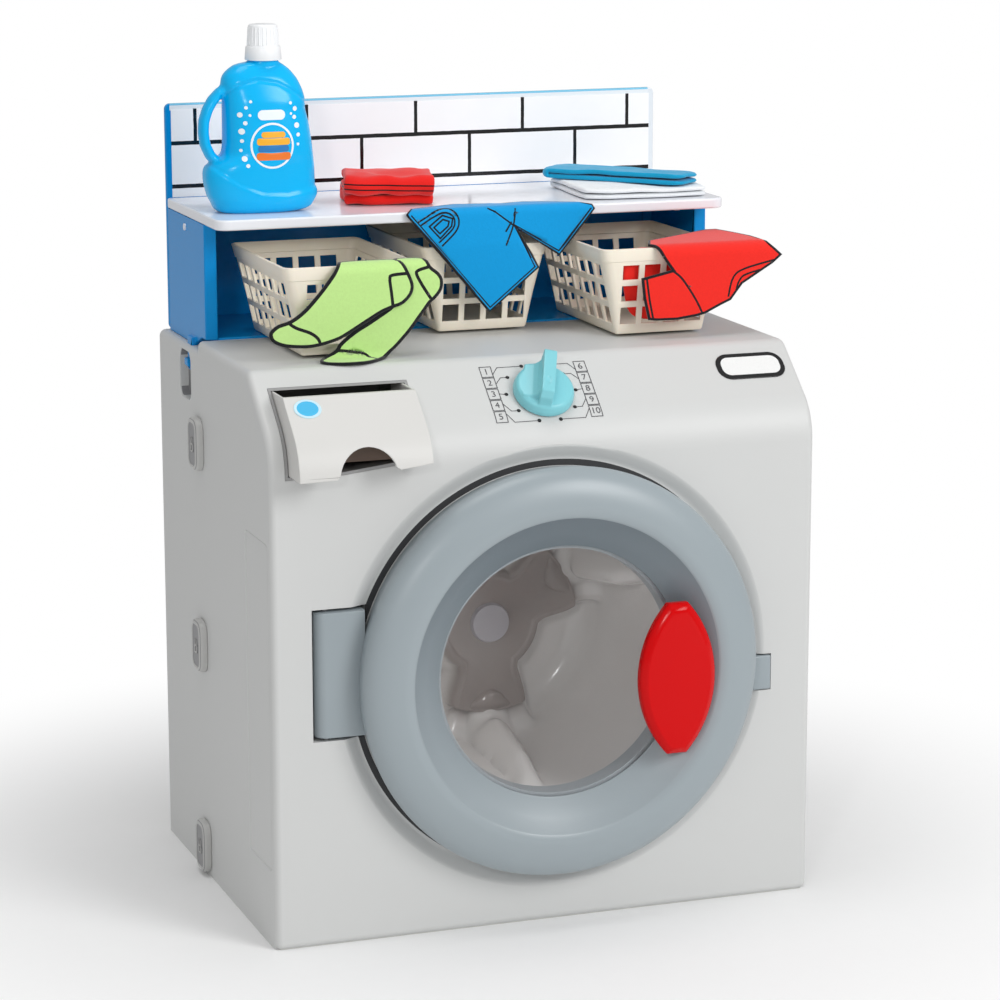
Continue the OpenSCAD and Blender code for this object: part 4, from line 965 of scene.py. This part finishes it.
# The soap bottle is a blown blue bottle with a hollow side handle, a bulging foot and a moulded crease
# across its shoulder. Its neck carries a white screw cap, and a printed label lies on its front.
bottle_at, bottle_z, bottle_t, neck_z = (-0.178, 0.058), 0.5853, 0.052, 0.127
BODY = [(-31.5, 0), (36, 0), (42, 2), (46, 7), (49.5, 14), (49.3, 17), (47.8, 21), (47.9, 36), (45.7, 55.5),
        (43, 74.5), (39.5, 88), (40.7, 92), (39.9, 95.5), (38, 103), (33.5, 112.5), (26, 121.5), (17, 127)]
BODY_LEFT = [(-41, 0), (-41, 5), (-46, 13), (-49, 26), (-49.3, 35), (-46, 41.5), (-38, 46), (-33, 50), (-32, 60), (-32, 98),
             (-33.3, 110), (-32, 116), (-27, 121.5), (-19, 126), (-9, 127)]
DEPTH = [(22, 0), (26, 8), (26, 62), (23, 95), (17, 115), (12, 124), (10, 127)]
heights = np.concatenate([[0, 0.8, 2, 4, 7], np.arange(10, 120, 2.0), [120, 122, 124, 125.6, 127]])
right = np.interp(heights, [p[1] for p in BODY[1:]], [p[0] for p in BODY[1:]])
left = np.interp(heights, [p[1] for p in BODY_LEFT], [p[0] for p in BODY_LEFT])
depth = np.interp(heights, [p[1] for p in DEPTH], [p[0] for p in DEPTH])
for line in (right, left, depth):
    line[1:-1] = (line[:-2] + 2 * line[1:-1] + line[2:]) / 4
rings = []
for h, r, l, d in zip(heights, right, left, depth):
    pull = 1 - 0.12 * max(0.0, 1 - h / 4.0) ** 2
    ring = []
    for a in (2 * pi * k / 72 for k in range(72)):
        ca, sa = cos(a), sin(a)
        power = 2 / 2.5
        ox = abs(ca) ** power * (1 if ca > 0 else -1) * (r - l) / 2 * pull
        oy = abs(sa) ** power * (1 if sa > 0 else -1) * d * pull
        ring.append(((l + r) / 2 * MM + ox * MM, oy * MM, h * MM))
    rings.append(ring)
bm = stacked(rings)
GRIP_PATH = [(-22, 112), (-28, 106.5), (-35, 101), (-41, 95), (-45.6, 87), (-48.6, 78), (-49.3, 68), (-48, 58), (-44, 49),
             (-38, 42), (-30, 38)]
tube([(px * MM, pz * MM) for px, pz in GRIP_PATH], 0.0046, 0.0085, bm)
neck = [[(0.0045 + 0.0125 * cos(2 * pi * k / 48), 0.0125 * sin(2 * pi * k / 48), up) for k in range(48)]
        for up in (0.117, 0.1425)]
stacked(neck, bm)
bmesh.ops.recalc_face_normals(bm, faces=bm.faces)
bm = remeshed(bm, 0.0011, 6)


def moulded_line(px, points):
    return np.interp(px, [p[0] for p in points], [p[1] for p in points])


SHOULDER = [(-0.034, 0.098), (-0.022, 0.1085), (-0.006, 0.113), (0.012, 0.110), (0.030, 0.101), (0.042, 0.0905)]
FOOT = [(-0.050, 0.043), (-0.040, 0.035), (-0.024, 0.024), (-0.004, 0.0165), (0.018, 0.0150), (0.036, 0.0175), (0.050, 0.0205)]
bmesh.ops.recalc_face_normals(bm, faces=bm.faces)
bm.normal_update()
moves = []
for v in bm.verts:
    if v.co.x < -0.036 and v.co.z > 0.044 or v.co.z > 0.124:
        moves.append(0.0)
        continue
    over = (v.co.z - moulded_line(v.co.x, SHOULDER)) / 0.0016
    under = (moulded_line(v.co.x, FOOT) - v.co.z) / 0.0022
    move = -0.0012 * float(np.exp(-over ** 2)) + 0.0012 * float(eased(under * 0.5 + 0.5)) - 0.0003
    moves.append(move * min(1.0, abs(v.normal.y) * 1.5 + 0.3))
for v, move in zip(bm.verts, moves):
    v.co += v.normal * move
bmesh.ops.smooth_vert(bm, verts=bm.verts, factor=0.3, use_axis_x=True, use_axis_y=True, use_axis_z=True)
bottle_tree = BVHTree.FromBMesh(bm)
bm.transform(Matrix.Translation(Vector((*bottle_at, bottle_z))))
bottle_finish = plastic("bottle_blue", (0, 182, 244), rough=0.2, grain=260, depth=0.00005, Specular_IOR_Level=0.3)
piece("bottle_body", bm, "bottle", "bottle", bottle_finish, "bottle", crisp=70)

# The printed label: a bare white lozenge over a ring with three folded towels in it.
label_finishes = [plastic("label_white", (238, 246, 250), rough=0.3), plastic("label_yellow", (247, 178, 40), rough=0.35),
                  plastic("label_orange", (240, 120, 30), rough=0.35), plastic("label_blue", (30, 120, 190), rough=0.35)]
bm = bmesh.new()


def label_patch(points, finish, up):
    """A printed shape about the bottle's middle, pressed onto its front."""
    inner = [Vector(p) for p in points]
    low_x, high_x = min(p.x for p in inner), max(p.x for p in inner)
    low_z, high_z = min(p.y for p in inner), max(p.y for p in inner)
    count = len(inner)
    for gx in np.arange(low_x, high_x, 0.0014):
        for gz in np.arange(low_z, high_z, 0.0014):
            inner.append(Vector((gx, gz)))
    flat, _, faces, *_ = delaunay_2d_cdt(inner, [], [list(range(count))], 1, 1e-7)
    verts = []
    for p in flat:
        hit, away, *_ = bottle_tree.ray_cast(Vector((p.x, -0.06, p.y)), Vector((0, 1, 0)))
        verts.append(bm.verts.new(hit - Vector((0, up, 0))))
    for face in faces:
        made = bm.faces.new([verts[k] for k in face])
        made.material_index = finish


def oval(cx, cz, rx, rz, steps=40):
    return [(cx + rx * cos(2 * pi * k / steps), cz + rz * sin(2 * pi * k / steps)) for k in range(steps)]


mid_x = 0.0045
label_patch([(mid_x + px, 0.0835 + pz) for px, pz in outline(0.024, 0.0085, 0.0042)], 0, 0.0003)
ring_out, ring_in = oval(mid_x, 0.0575, 0.0190, 0.0195), oval(mid_x, 0.0575, 0.0172, 0.0177)
for k in range(40):
    j = (k + 1) % 40
    label_patch([ring_out[k], ring_out[j], ring_in[j], ring_in[k]], 0, 0.0003)
for cz, wide, tall, finish in ((0.0485, 0.030, 0.0065, 2), (0.0550, 0.027, 0.0055, 3), (0.0610, 0.029, 0.0060, 1),
                               (0.0668, 0.021, 0.0050, 1)):
    label_patch([(mid_x + px + 0.001, cz + pz) for px, pz in outline(wide, tall, 0.0024)], finish, 0.00035)
for cx, cz, size in ((-21, 70, 2.6), (-18, 77, 1.8), (-22, 84, 2.2), (-17, 90, 1.5), (-21, 62, 1.6), (-19.5, 47, 2.4),
                     (-17, 41, 1.7), (27, 74, 2.4), (25, 81, 1.8), (28, 66, 1.7), (26, 88, 2.0), (22, 93, 1.4), (-13, 95, 1.3),
                     (27.5, 58, 1.3), (-22, 54, 1.4), (-14, 83.5, 1.2), (22, 84, 1.1)):
    label_patch(oval(cx * MM, cz * MM, size * MM, size * MM, 14), 0, 0.0003)
bmesh.ops.recalc_face_normals(bm, faces=bm.faces)
for face in bm.faces:
    if face.normal.y > 0:
        face.normal_flip()
bm.transform(Matrix.Translation(Vector((*bottle_at, bottle_z))))
piece("bottle_print", bm, "bottle", "cap", label_finishes, "bottle_label", crisp=60)

# The cap is white, with a plain skirt and a narrower fluted top that Geometry Nodes rib.
cap_x, cap_y, cap_z = bottle_at[0] + 0.0045, bottle_at[1], bottle_z + 0.1285


def cap_ribs(work, count, ring, size, height):
    """Half-round ribs around the cap's upper part."""
    rib = work.node("GeometryNodeMeshCylinder", {}, 8, 1, 1, size, height)
    spots = work.node("GeometryNodeMeshCircle", {}, count, ring)
    return work.node("GeometryNodeInstanceOnPoints", {}, spots, Instance=rib)


ribs = grown("cap_ribs", {"Count": 24, "Ring": 0.0131, "Rib size": 0.0008, "Height": 0.0150}, cap_ribs)
bm = bmesh.new()
bm.from_mesh(ribs)
for v in bm.verts:
    shrink = 1 - (v.co.z + 0.0075) / 0.015 * 0.075
    v.co.x, v.co.y = v.co.x * shrink, v.co.y * shrink
    v.co.z += 0.0202
cap_profile = [(0.0126, 0.0), (0.0155, 0.0), (0.0158, 0.0006), (0.0149, 0.0109), (0.0146, 0.0115), (0.0137, 0.0117),
               (0.0135, 0.0124), (0.0124, 0.0285), (0.0120, 0.0294), (0.0110, 0.0300), (0.0001, 0.0300)]
rings = [[(r * cos(2 * pi * k / 72), r * sin(2 * pi * k / 72), up) for k in range(72)] for r, up in cap_profile]
rings = [[(0.0001 * cos(2 * pi * k / 72), 0.0001 * sin(2 * pi * k / 72), 0.0150) for k in range(72)],
         [(0.0126 * cos(2 * pi * k / 72), 0.0126 * sin(2 * pi * k / 72), 0.0150) for k in range(72)]] + rings
stacked(rings, bm)
bm.transform(Matrix.Translation(Vector((cap_x, cap_y, cap_z))))
piece("bottle_cap_moulding", bm, "bottle_cap", "cap", plastic("cap_white", (243, 245, 247), rough=0.3), "bottle_cap", crisp=40)
bpy.data.meshes.remove(ribs)

# The play clothes are cut from felt with thick black printed outlines. Each lies over an edge and hangs
# down from it: flat on top, round the edge, then nearly straight.
felt_t = 0.002


def felt(name, colour, ink=False):
    """Felt: short crossed fibres in its colour and surface, with a soft sheen."""
    made = Finish(name, Roughness=0.9, Sheen_Weight=0.25, Sheen_Roughness=0.5, Specular_IOR_Level=0.2)
    place = made.place()
    runs = [made.noise(1.0, 3, at=made.node("ShaderNodeMapping", {}, place, Scale=size))
            for size in ((2600, 500, 500), (500, 500, 2600), (420, 420, 420))]
    fibre = runs[0] * 0.4 + runs[1] * 0.3 + runs[2] * 0.3
    spread = 0.35 if ink else 0.16
    made.set("Base Color", made.mix(fibre, paint(*colour, 1 - spread), paint(*colour, 1 + spread)))
    made.bump(fibre, 0.5, 0.0004)
    return made.made


ink_finish = felt("black_ink", (26, 26, 30), ink=True)


class Drop:
    """A path of (y, z) that a cloth follows, measured along its length."""

    def __init__(self, points):
        self.points = np.array(points, float) * MM
        self.at = np.concatenate([[0], np.cumsum(np.linalg.norm(np.diff(self.points, axis=0), axis=1))])

    def where(self, along):
        along = min(max(along, 0), self.at[-1] - 1e-6)
        k = int(np.searchsorted(self.at, along, side="right")) - 1
        share = (along - self.at[k]) / (self.at[k + 1] - self.at[k])
        spot = self.points[k] + (self.points[k + 1] - self.points[k]) * share
        smooth = [np.interp(along + s, self.at, self.points[:, c]) for c in (0, 1) for s in (-0.0015, 0.0015)]
        away = Vector((smooth[1] - smooth[0], smooth[3] - smooth[2])).normalized()
        return spot, Vector((-away.y, away.x))


def arc_points(cy, cz, r, a0, a1, steps=8):
    return [(cy + r * cos(radians(a0 + (a1 - a0) * k / steps)), cz + r * sin(radians(a0 + (a1 - a0) * k / steps)))
            for k in range(steps + 1)]


def inset_line(points, by):
    """A closed outline with each side moved in."""
    count = len(points)
    area = sum(points[k][0] * points[(k + 1) % count][1] - points[(k + 1) % count][0] * points[k][1] for k in range(count))
    hand = 1 if area > 0 else -1
    made = []
    for k in range(count):
        before, here, after = (Vector(points[(k + s) % count]) for s in (-1, 0, 1))
        a, b = (here - before).normalized(), (after - here).normalized()
        na, nb = Vector((-a.y, a.x)) * hand, Vector((-b.y, b.x)) * hand
        middle = na + nb
        made.append(tuple(here + middle * (by / max(0.35, middle.length_squared / 2) / 1.0)))
    return made


def stroke_quads(points, width, closed=False):
    """The four-cornered pieces of a printed line."""
    ends = list(zip(points, points[1:] + points[:1] if closed else points[1:]))
    quads = []
    for a, b in ends:
        a, b = Vector(a), Vector(b)
        if (b - a).length < 1e-6:
            continue
        away = (b - a).normalized()
        side = Vector((-away.y, away.x)) * width / 2
        a, b = a - away * width * 0.3, b + away * width * 0.3
        quads.append([a - side, b - side, b + side, a + side])
    return quads


def anticlockwise(points):
    area = sum(a[0] * b[1] - b[0] * a[1] for a, b in zip(points, list(points[1:]) + [points[0]]))
    return list(points) if area > 0 else list(points)[::-1]


def cut_cloth(shape, border, lines, step=0.004):
    """Cuts a flat shape into small faces. Each says whether it is printed: its border or one of the lines."""
    shape, border = anticlockwise(shape), [anticlockwise(ring) for ring in border]
    count = len(shape)
    points = [Vector(p) for p in shape]
    faces = [list(range(count))]
    for ring in border:
        first = len(points)
        points += [Vector(p) for p in ring]
        faces.append(list(range(first, len(points))))
    for quad in lines:
        first = len(points)
        points += quad
        faces.append(list(range(first, first + 4)))
    low, high = [min(p[k] for p in shape) for k in (0, 1)], [max(p[k] for p in shape) for k in (0, 1)]
    for i, gx in enumerate(np.arange(low[0], high[0], step)):
        for gy in np.arange(low[1], high[1], step):
            points.append(Vector((gx, gy + (step / 2 if i % 2 else 0))))
    flat, _, cells, _, _, origin = delaunay_2d_cdt(points, [], faces, 1, 1e-6)
    kept = []
    bands = len(border)
    for cell, source in zip(cells, origin):
        if 0 not in source:
            continue
        rings = [k for k in source if 1 <= k <= bands]
        inked = any(k > bands for k in source) or (bands and len(rings) % 2 == 0)
        kept.append((cell, inked))
    return flat, kept


def hang(name, drop, shape, border, lines, finish, body, slot, node, wave=None, step=0.004, more=(), flat_size=None):
    """Makes a felt piece: cut flat, laid along its path, then given its thickness."""
    flat, cells = cut_cloth(shape, border, lines, step)
    bm = bmesh.new()
    verts = []
    for p in flat:
        (py, pz), away = drop.where(p.y)
        ripple = wave(p.x, p.y) if wave else 0.0
        verts.append(bm.verts.new((p.x, py + away.x * ripple, pz + away.y * ripple)))
    used = set()
    for cell, inked in cells:
        made = bm.faces.new([verts[k] for k in cell])
        made.material_index = 1 if inked else 0
        used.update(cell)
    bmesh.ops.delete(bm, geom=[v for k, v in enumerate(verts) if k not in used], context="VERTS")
    bm.normal_update()
    if sum(face.normal.z * 0.5 - face.normal.y for face in bm.faces) < 0:
        bmesh.ops.reverse_faces(bm, faces=bm.faces)
    area = sum(face.calc_area() for face in bm.faces)
    made = piece(name, bm, body, slot, [finish, ink_finish], *([node] if node else []), crisp=60)
    thick = made.modifiers.new("felt", "SOLIDIFY")
    thick.thickness, thick.offset = felt_t, 0.0
    xs, ys = [p[0] for p in shape], [p[1] for p in shape]
    size = flat_size or (max(xs) - min(xs), max(ys) - min(ys))
    min(area, size[0] * size[1])
    return made


def smooth_ring(points, per=5):
    """A closed curve through points, in small steps."""
    count, made = len(points), []
    for k in range(count):
        a, b, c, d = (Vector(points[(k + s) % count]) for s in (-1, 0, 1, 2))
        made += [0.5 * (2 * b + (c - a) * t + (2 * a - 5 * b + 4 * c - d) * t * t + (3 * b - a - 3 * c + d) * t ** 3)
                 for t in (j / per for j in range(per))]
    return [tuple(p * MM) for p in made]


def smooth_line(points, per=6):
    """An open curve through points, in small steps."""
    ends = [Vector(p) for p in (points[0], *points, points[-1])]
    made = []
    for a, b, c, d in zip(ends, ends[1:], ends[2:], ends[3:]):
        made += [0.5 * (2 * b + (c - a) * t + (2 * a - 5 * b + 4 * c - d) * t * t + (3 * b - a - 3 * c + d) * t ** 3)
                 for t in (j / per for j in range(per))]
    return [tuple(p * MM) for p in [*made, ends[-1]]]


def straight(points):
    return [(px * MM, py * MM) for px, py in points]


def inked(width, *lines):
    return [quad for line in lines for quad in stroke_quads(line, width)]


# Shapes are (across, along): millimetres from the toy's middle and down the path from its upper end.
trouser_drop = Drop([(40, 586.3)] + arc_points(0.9, 581.1, 5.2, 90, 184) + [(-8.5, 554), (-10.5, 480)])
trouser_shape = straight([(-66.5, 45), (-64.5, 48), (6.5, 132.2), (52.5, 95.4), (33.0, 60.5), (71.2, 85.9), (106.0, 47.0),
                          (104, 43), (91.3, 36), (60, 17.5), (30, 15), (10, 15.5), (-14, 15), (-33, 18), (-59, 34)])
trouser_lines = inked(0.0015, smooth_line([(-57.0, 52.3), (-41.2, 43.8), (-30.3, 40.6), (-22.4, 45.3), (-19.6, 52.3),
                                           (-22.8, 61.0), (-35.8, 72.9)]),
                      smooth_line([(-54.3, 54.7), (-40.7, 47.1), (-32.3, 44.8), (-25.6, 47.2), (-23.4, 52.5), (-26.0, 59.2),
                                   (-38.4, 69.9)]),
                      straight([(-46.6, 55.9), (-34.3, 46.8), (-25.1, 50.0), (-26.5, 56.4), (-37.3, 66.5), (-46.6, 55.9)]),
                      straight([(-42.5, 56.9), (-34.0, 50.3), (-28.5, 52.2), (-29.8, 56.3), (-37.4, 62.3), (-42.5, 56.9)]),
                      straight([(7.7, 42.8), (13.9, 46.0), (33, 60.5)]), smooth_line([(32.5, 44.2), (29.8, 57.9), (22.4, 74.8)]),
                      straight([(28.1, 55.3), (22.7, 63.1)]))
inner_hem = inset_line(trouser_shape, 0.0031)
trouser_lines += inked(0.0012, inner_hem[1:7])
hang("trousers_felt", trouser_drop, trouser_shape, [inset_line(trouser_shape, 0.0014)], trouser_lines,
     felt("felt_blue", (0, 152, 218)), "middle_basket", "felt_blue", "trousers",
     wave=lambda px, along: 0.0011 * max(0.0, 1 - along / 0.040) * (1 + sin(px * 160) * cos(px * 61 + 1)))

rest_z, rim_front = 555.7, -69
shirt_drop = Drop([(14, rest_z)] + arc_points(rim_front + 1.2, rest_z - 9, 9, 90, 178) + [(-78, 520), (-81, 480)])
shirt_shape = smooth_line([(131.5, 79.0), (135.9, 86.4), (141.0, 96.4), (148.9, 107.5)]) + straight(
    [(120.8, 113.3), (122.4, 130.5), (126.3, 149.3), (134.0, 150.2), (152.6, 150.5), (171.3, 148.2), (179.1, 146.5),
     (193.3, 140.0), (203.2, 136.0), (214.3, 122.5), (236.0, 110.0), (243.0, 106.0), (252.0, 98.8), (246, 93.5), (239.5, 86), (236.7, 55), (232, 30),
     (226, 6), (216, 6), (158.9, 44), (141.0, 56)])
shirt_lines = inked(0.0019, straight([(125.4, 114.9), (127.5, 132.2), (130.6, 149.3)]),
                    smooth_line([(148.9, 107.8), (157.1, 114.4), (164.7, 124.8), (171.5, 136.0), (176.7, 147.0)]))
shirt_lines += inked(0.0017, smooth_line([(200.9, 132.6), (205.8, 116.4), (217.2, 109.2), (250, 102)]),
                     smooth_line([(207.5, 130.4), (211.5, 119.3), (220.0, 113.7), (250, 107.5)]))
red_finish = felt("felt_red", (236, 40, 30))
hang("shirt_felt", shirt_drop, shirt_shape, [inset_line(shirt_shape, 0.0021)], shirt_lines, red_finish,
     "right_basket", "felt_red", "tshirt")
inner_drop = Drop([(rim_front + 6, rest_z - 2.2), (rim_front + 7.5, 545), (rim_front + 15.2, 484)])
inner_shape = smooth_ring([(116, 1), (111, 14), (113, 40), (122, 60), (150, 65), (168, 63), (174, 50), (181, 1)])
hang("shirt_back_felt", inner_drop, inner_shape, [], [], red_finish, "right_basket", "felt_red", None)

FRONT_SOCK = [(-149, 16), (-152.5, 22), (-156, 28), (-162.5, 36.9), (-171.4, 47.5), (-181.9, 58.5), (-190.7, 65.3), (-198, 69),
              (-206.2, 71.3), (-211.8, 75.1), (-213.9, 79), (-211.7, 85), (-203.3, 89.3), (-191.3, 91.3), (-179.3, 91.7),
              (-168.6, 90.3), (-156.8, 87.3), (-149.8, 84.4), (-139.3, 78.6), (-127, 71.6), (-116.5, 65.9), (-107.3, 62.5),
              (-98.5, 59.7), (-91.8, 53.8), (-88.8, 47.3), (-89.4, 40.9), (-93.1, 32.1), (-98, 22), (-103, 15), (-112, 13),
              (-135, 13)]
REAR_SOCK = [(-101.5, 14), (-86, 11), (-78, 15), (-72.7, 27), (-65.5, 33.2), (-62, 39.3), (-62.7, 47.6), (-67.9, 54.4),
             (-73.2, 58.8), (-77.7, 64.5), (-84, 72.5), (-91.2, 81.4), (-102, 92.5), (-111.7, 101.2), (-121, 112), (-132, 121),
             (-146, 124.5), (-160, 122.5), (-169.5, 117), (-172.5, 109.5), (-170.5, 103), (-164.9, 98.1), (-156.4, 93.5), (-152.4, 87.9),
             (-140, 78.6), (-122.4, 68.7), (-104, 56), (-101, 40)]
green_finish = felt("felt_green", (190, 228, 142))
for name, path, ring, lines, node in (
        ("front_sock", arc_points(-81, rest_z - 8.2, 8.2, 90, 176) + [(-92.2, 470)], FRONT_SOCK,
         ([(-92.6, 34.1), (-106.7, 35.0), (-109.3, 38.2), (-108.1, 50.0), (-107.0, 61.4)],
          [(-198.0, 69.7), (-190.9, 74.6), (-179.0, 79.4), (-172.6, 84.4), (-170.4, 90.0)]), "sock_front"),
        ("rear_sock", arc_points(-81, rest_z - 5, 5, 90, 176) + [(-87.6, 498), (-88.2, 487)] +
         arc_points(-94.2, 483.3, 6, -8, -90) + [(-130, 477.25)], REAR_SOCK,
         ([(-72.7, 28.0), (-83.0, 30.7), (-84.8, 34.1), (-80.0, 43.4), (-73.2, 54.1)],
          [(-155.7, 93.6), (-140.5, 96.1), (-130.5, 99.5), (-124.5, 113)]), "sock_rear")):
    drop, shape = Drop([(-61, rest_z), *path]), smooth_ring(ring, 3)
    hang(name, drop, shape, [inset_line(shape, 0.0028)], inked(0.0027, *(smooth_line(line) for line in lines)),
         green_finish, "left_basket", "felt_green", node)

# Folded cloths lie on the shelf: a thick red one, a white towel, and a turquoise one across the towel.
# Each is one ribbon folded over itself, with round folds and slightly uneven layers.
def fold_path(depth, layers, thick, gap):
    """The (y, z) line of a cloth folded to and fro, from its lowest layer up."""
    line = []
    pitch = thick + gap
    for k in range(layers):
        hand = 1 if k % 2 == 0 else -1
        for share in np.linspace(0, 1, 14):
            line.append((hand * (-depth / 2 + depth * share), thick / 2 + pitch * k))
        if k < layers - 1:
            line += [(hand * depth / 2 + hand * pitch / 2 * sin(a), thick / 2 + pitch * k + pitch / 2 * (1 - cos(a)))
                     for a in np.linspace(pi / 8, pi - pi / 8, 7)]
    return line


def folded_cloth(name, width, depth, layers, thick, gap, at, turn, finish, body, slot, node, sag, skew=0.0):
    line = fold_path(depth, layers, thick, gap)
    bm = bmesh.new()
    across_count = 26
    rows = []
    for k, (ly, lz) in enumerate(line):
        row = []
        for j in range(across_count + 1):
            s = j / across_count - 0.5
            edge = 1 - 0.10 * abs(2 * s) ** 6
            soft = noise.noise(Vector((s * 3.1, ly * 40, lz * 90 + turn))) * sag
            lean = skew * ly
            row.append(bm.verts.new((s * width + lean + soft * 0.8, ly * edge + soft,
                                     max(thick / 2, lz + soft * 0.9 * min(1, lz / 0.006)))))
        rows.append(row)
    for a, b in zip(rows, rows[1:]):
        for j in range(across_count):
            bm.faces.new((a[j], a[j + 1], b[j + 1], b[j]))
    area = sum(face.calc_area() for face in bm.faces)
    length = sum(hypot(b[0] - a[0], b[1] - a[1]) for a, b in zip(line, line[1:]))
    bm.transform(Matrix.Translation(Vector(at)) @ Matrix.Rotation(radians(turn), 4, "Z"))
    made = piece(name, bm, body, slot, finish, node, crisp=80)
    thickness = made.modifiers.new("thickness", "SOLIDIFY")
    thickness.thickness, thickness.offset = thick * 0.96, 0.0
    smooth = made.modifiers.new("smooth", "SUBSURF")
    smooth.levels = smooth.render_levels = 1
    return made


# Two thin dark bands across the red cloth's middle layer are painted shade.
folded_red = masked(felt("felt_folded_red", (232, 30, 24)), (40, 8, 10), lambda x, y, z: (
    (abs(z - bottle_z - 0.0118 + x * 0.03) < 0.0006).math("MAXIMUM", abs(z - bottle_z - 0.0118 + x * 0.03) < 0.0006,
                                                         abs(z - bottle_z - 0.0162 + x * 0.03) < 0.0006)))
folded_cloth("red_cloth_folded", 0.079, 0.054, 3, 0.0084, 0.0006, (-0.0575, 0.076, bottle_z), -14,
             folded_red, "red_cloth", "felt_red", "folded_red", 0.0042)
folded_cloth("white_towel", 0.114, 0.112, 2, 0.0042, 0.0008, (0.168, 0.072, bottle_z), -4.5,
             felt("felt_white", (236, 239, 245)), "white_cloth", "felt_white", "folded_white", 0.0018)
folded_cloth("turquoise_cloth_folded", 0.038, 0.138, 2, 0.0042, 0.0012, (0.163, 0.076, bottle_z + 0.0099), 42,
             felt("felt_turquoise", (8, 160, 206)), "turquoise_cloth", "felt_turquoise", "folded_turquoise", 0.0016,
             skew=0.0)
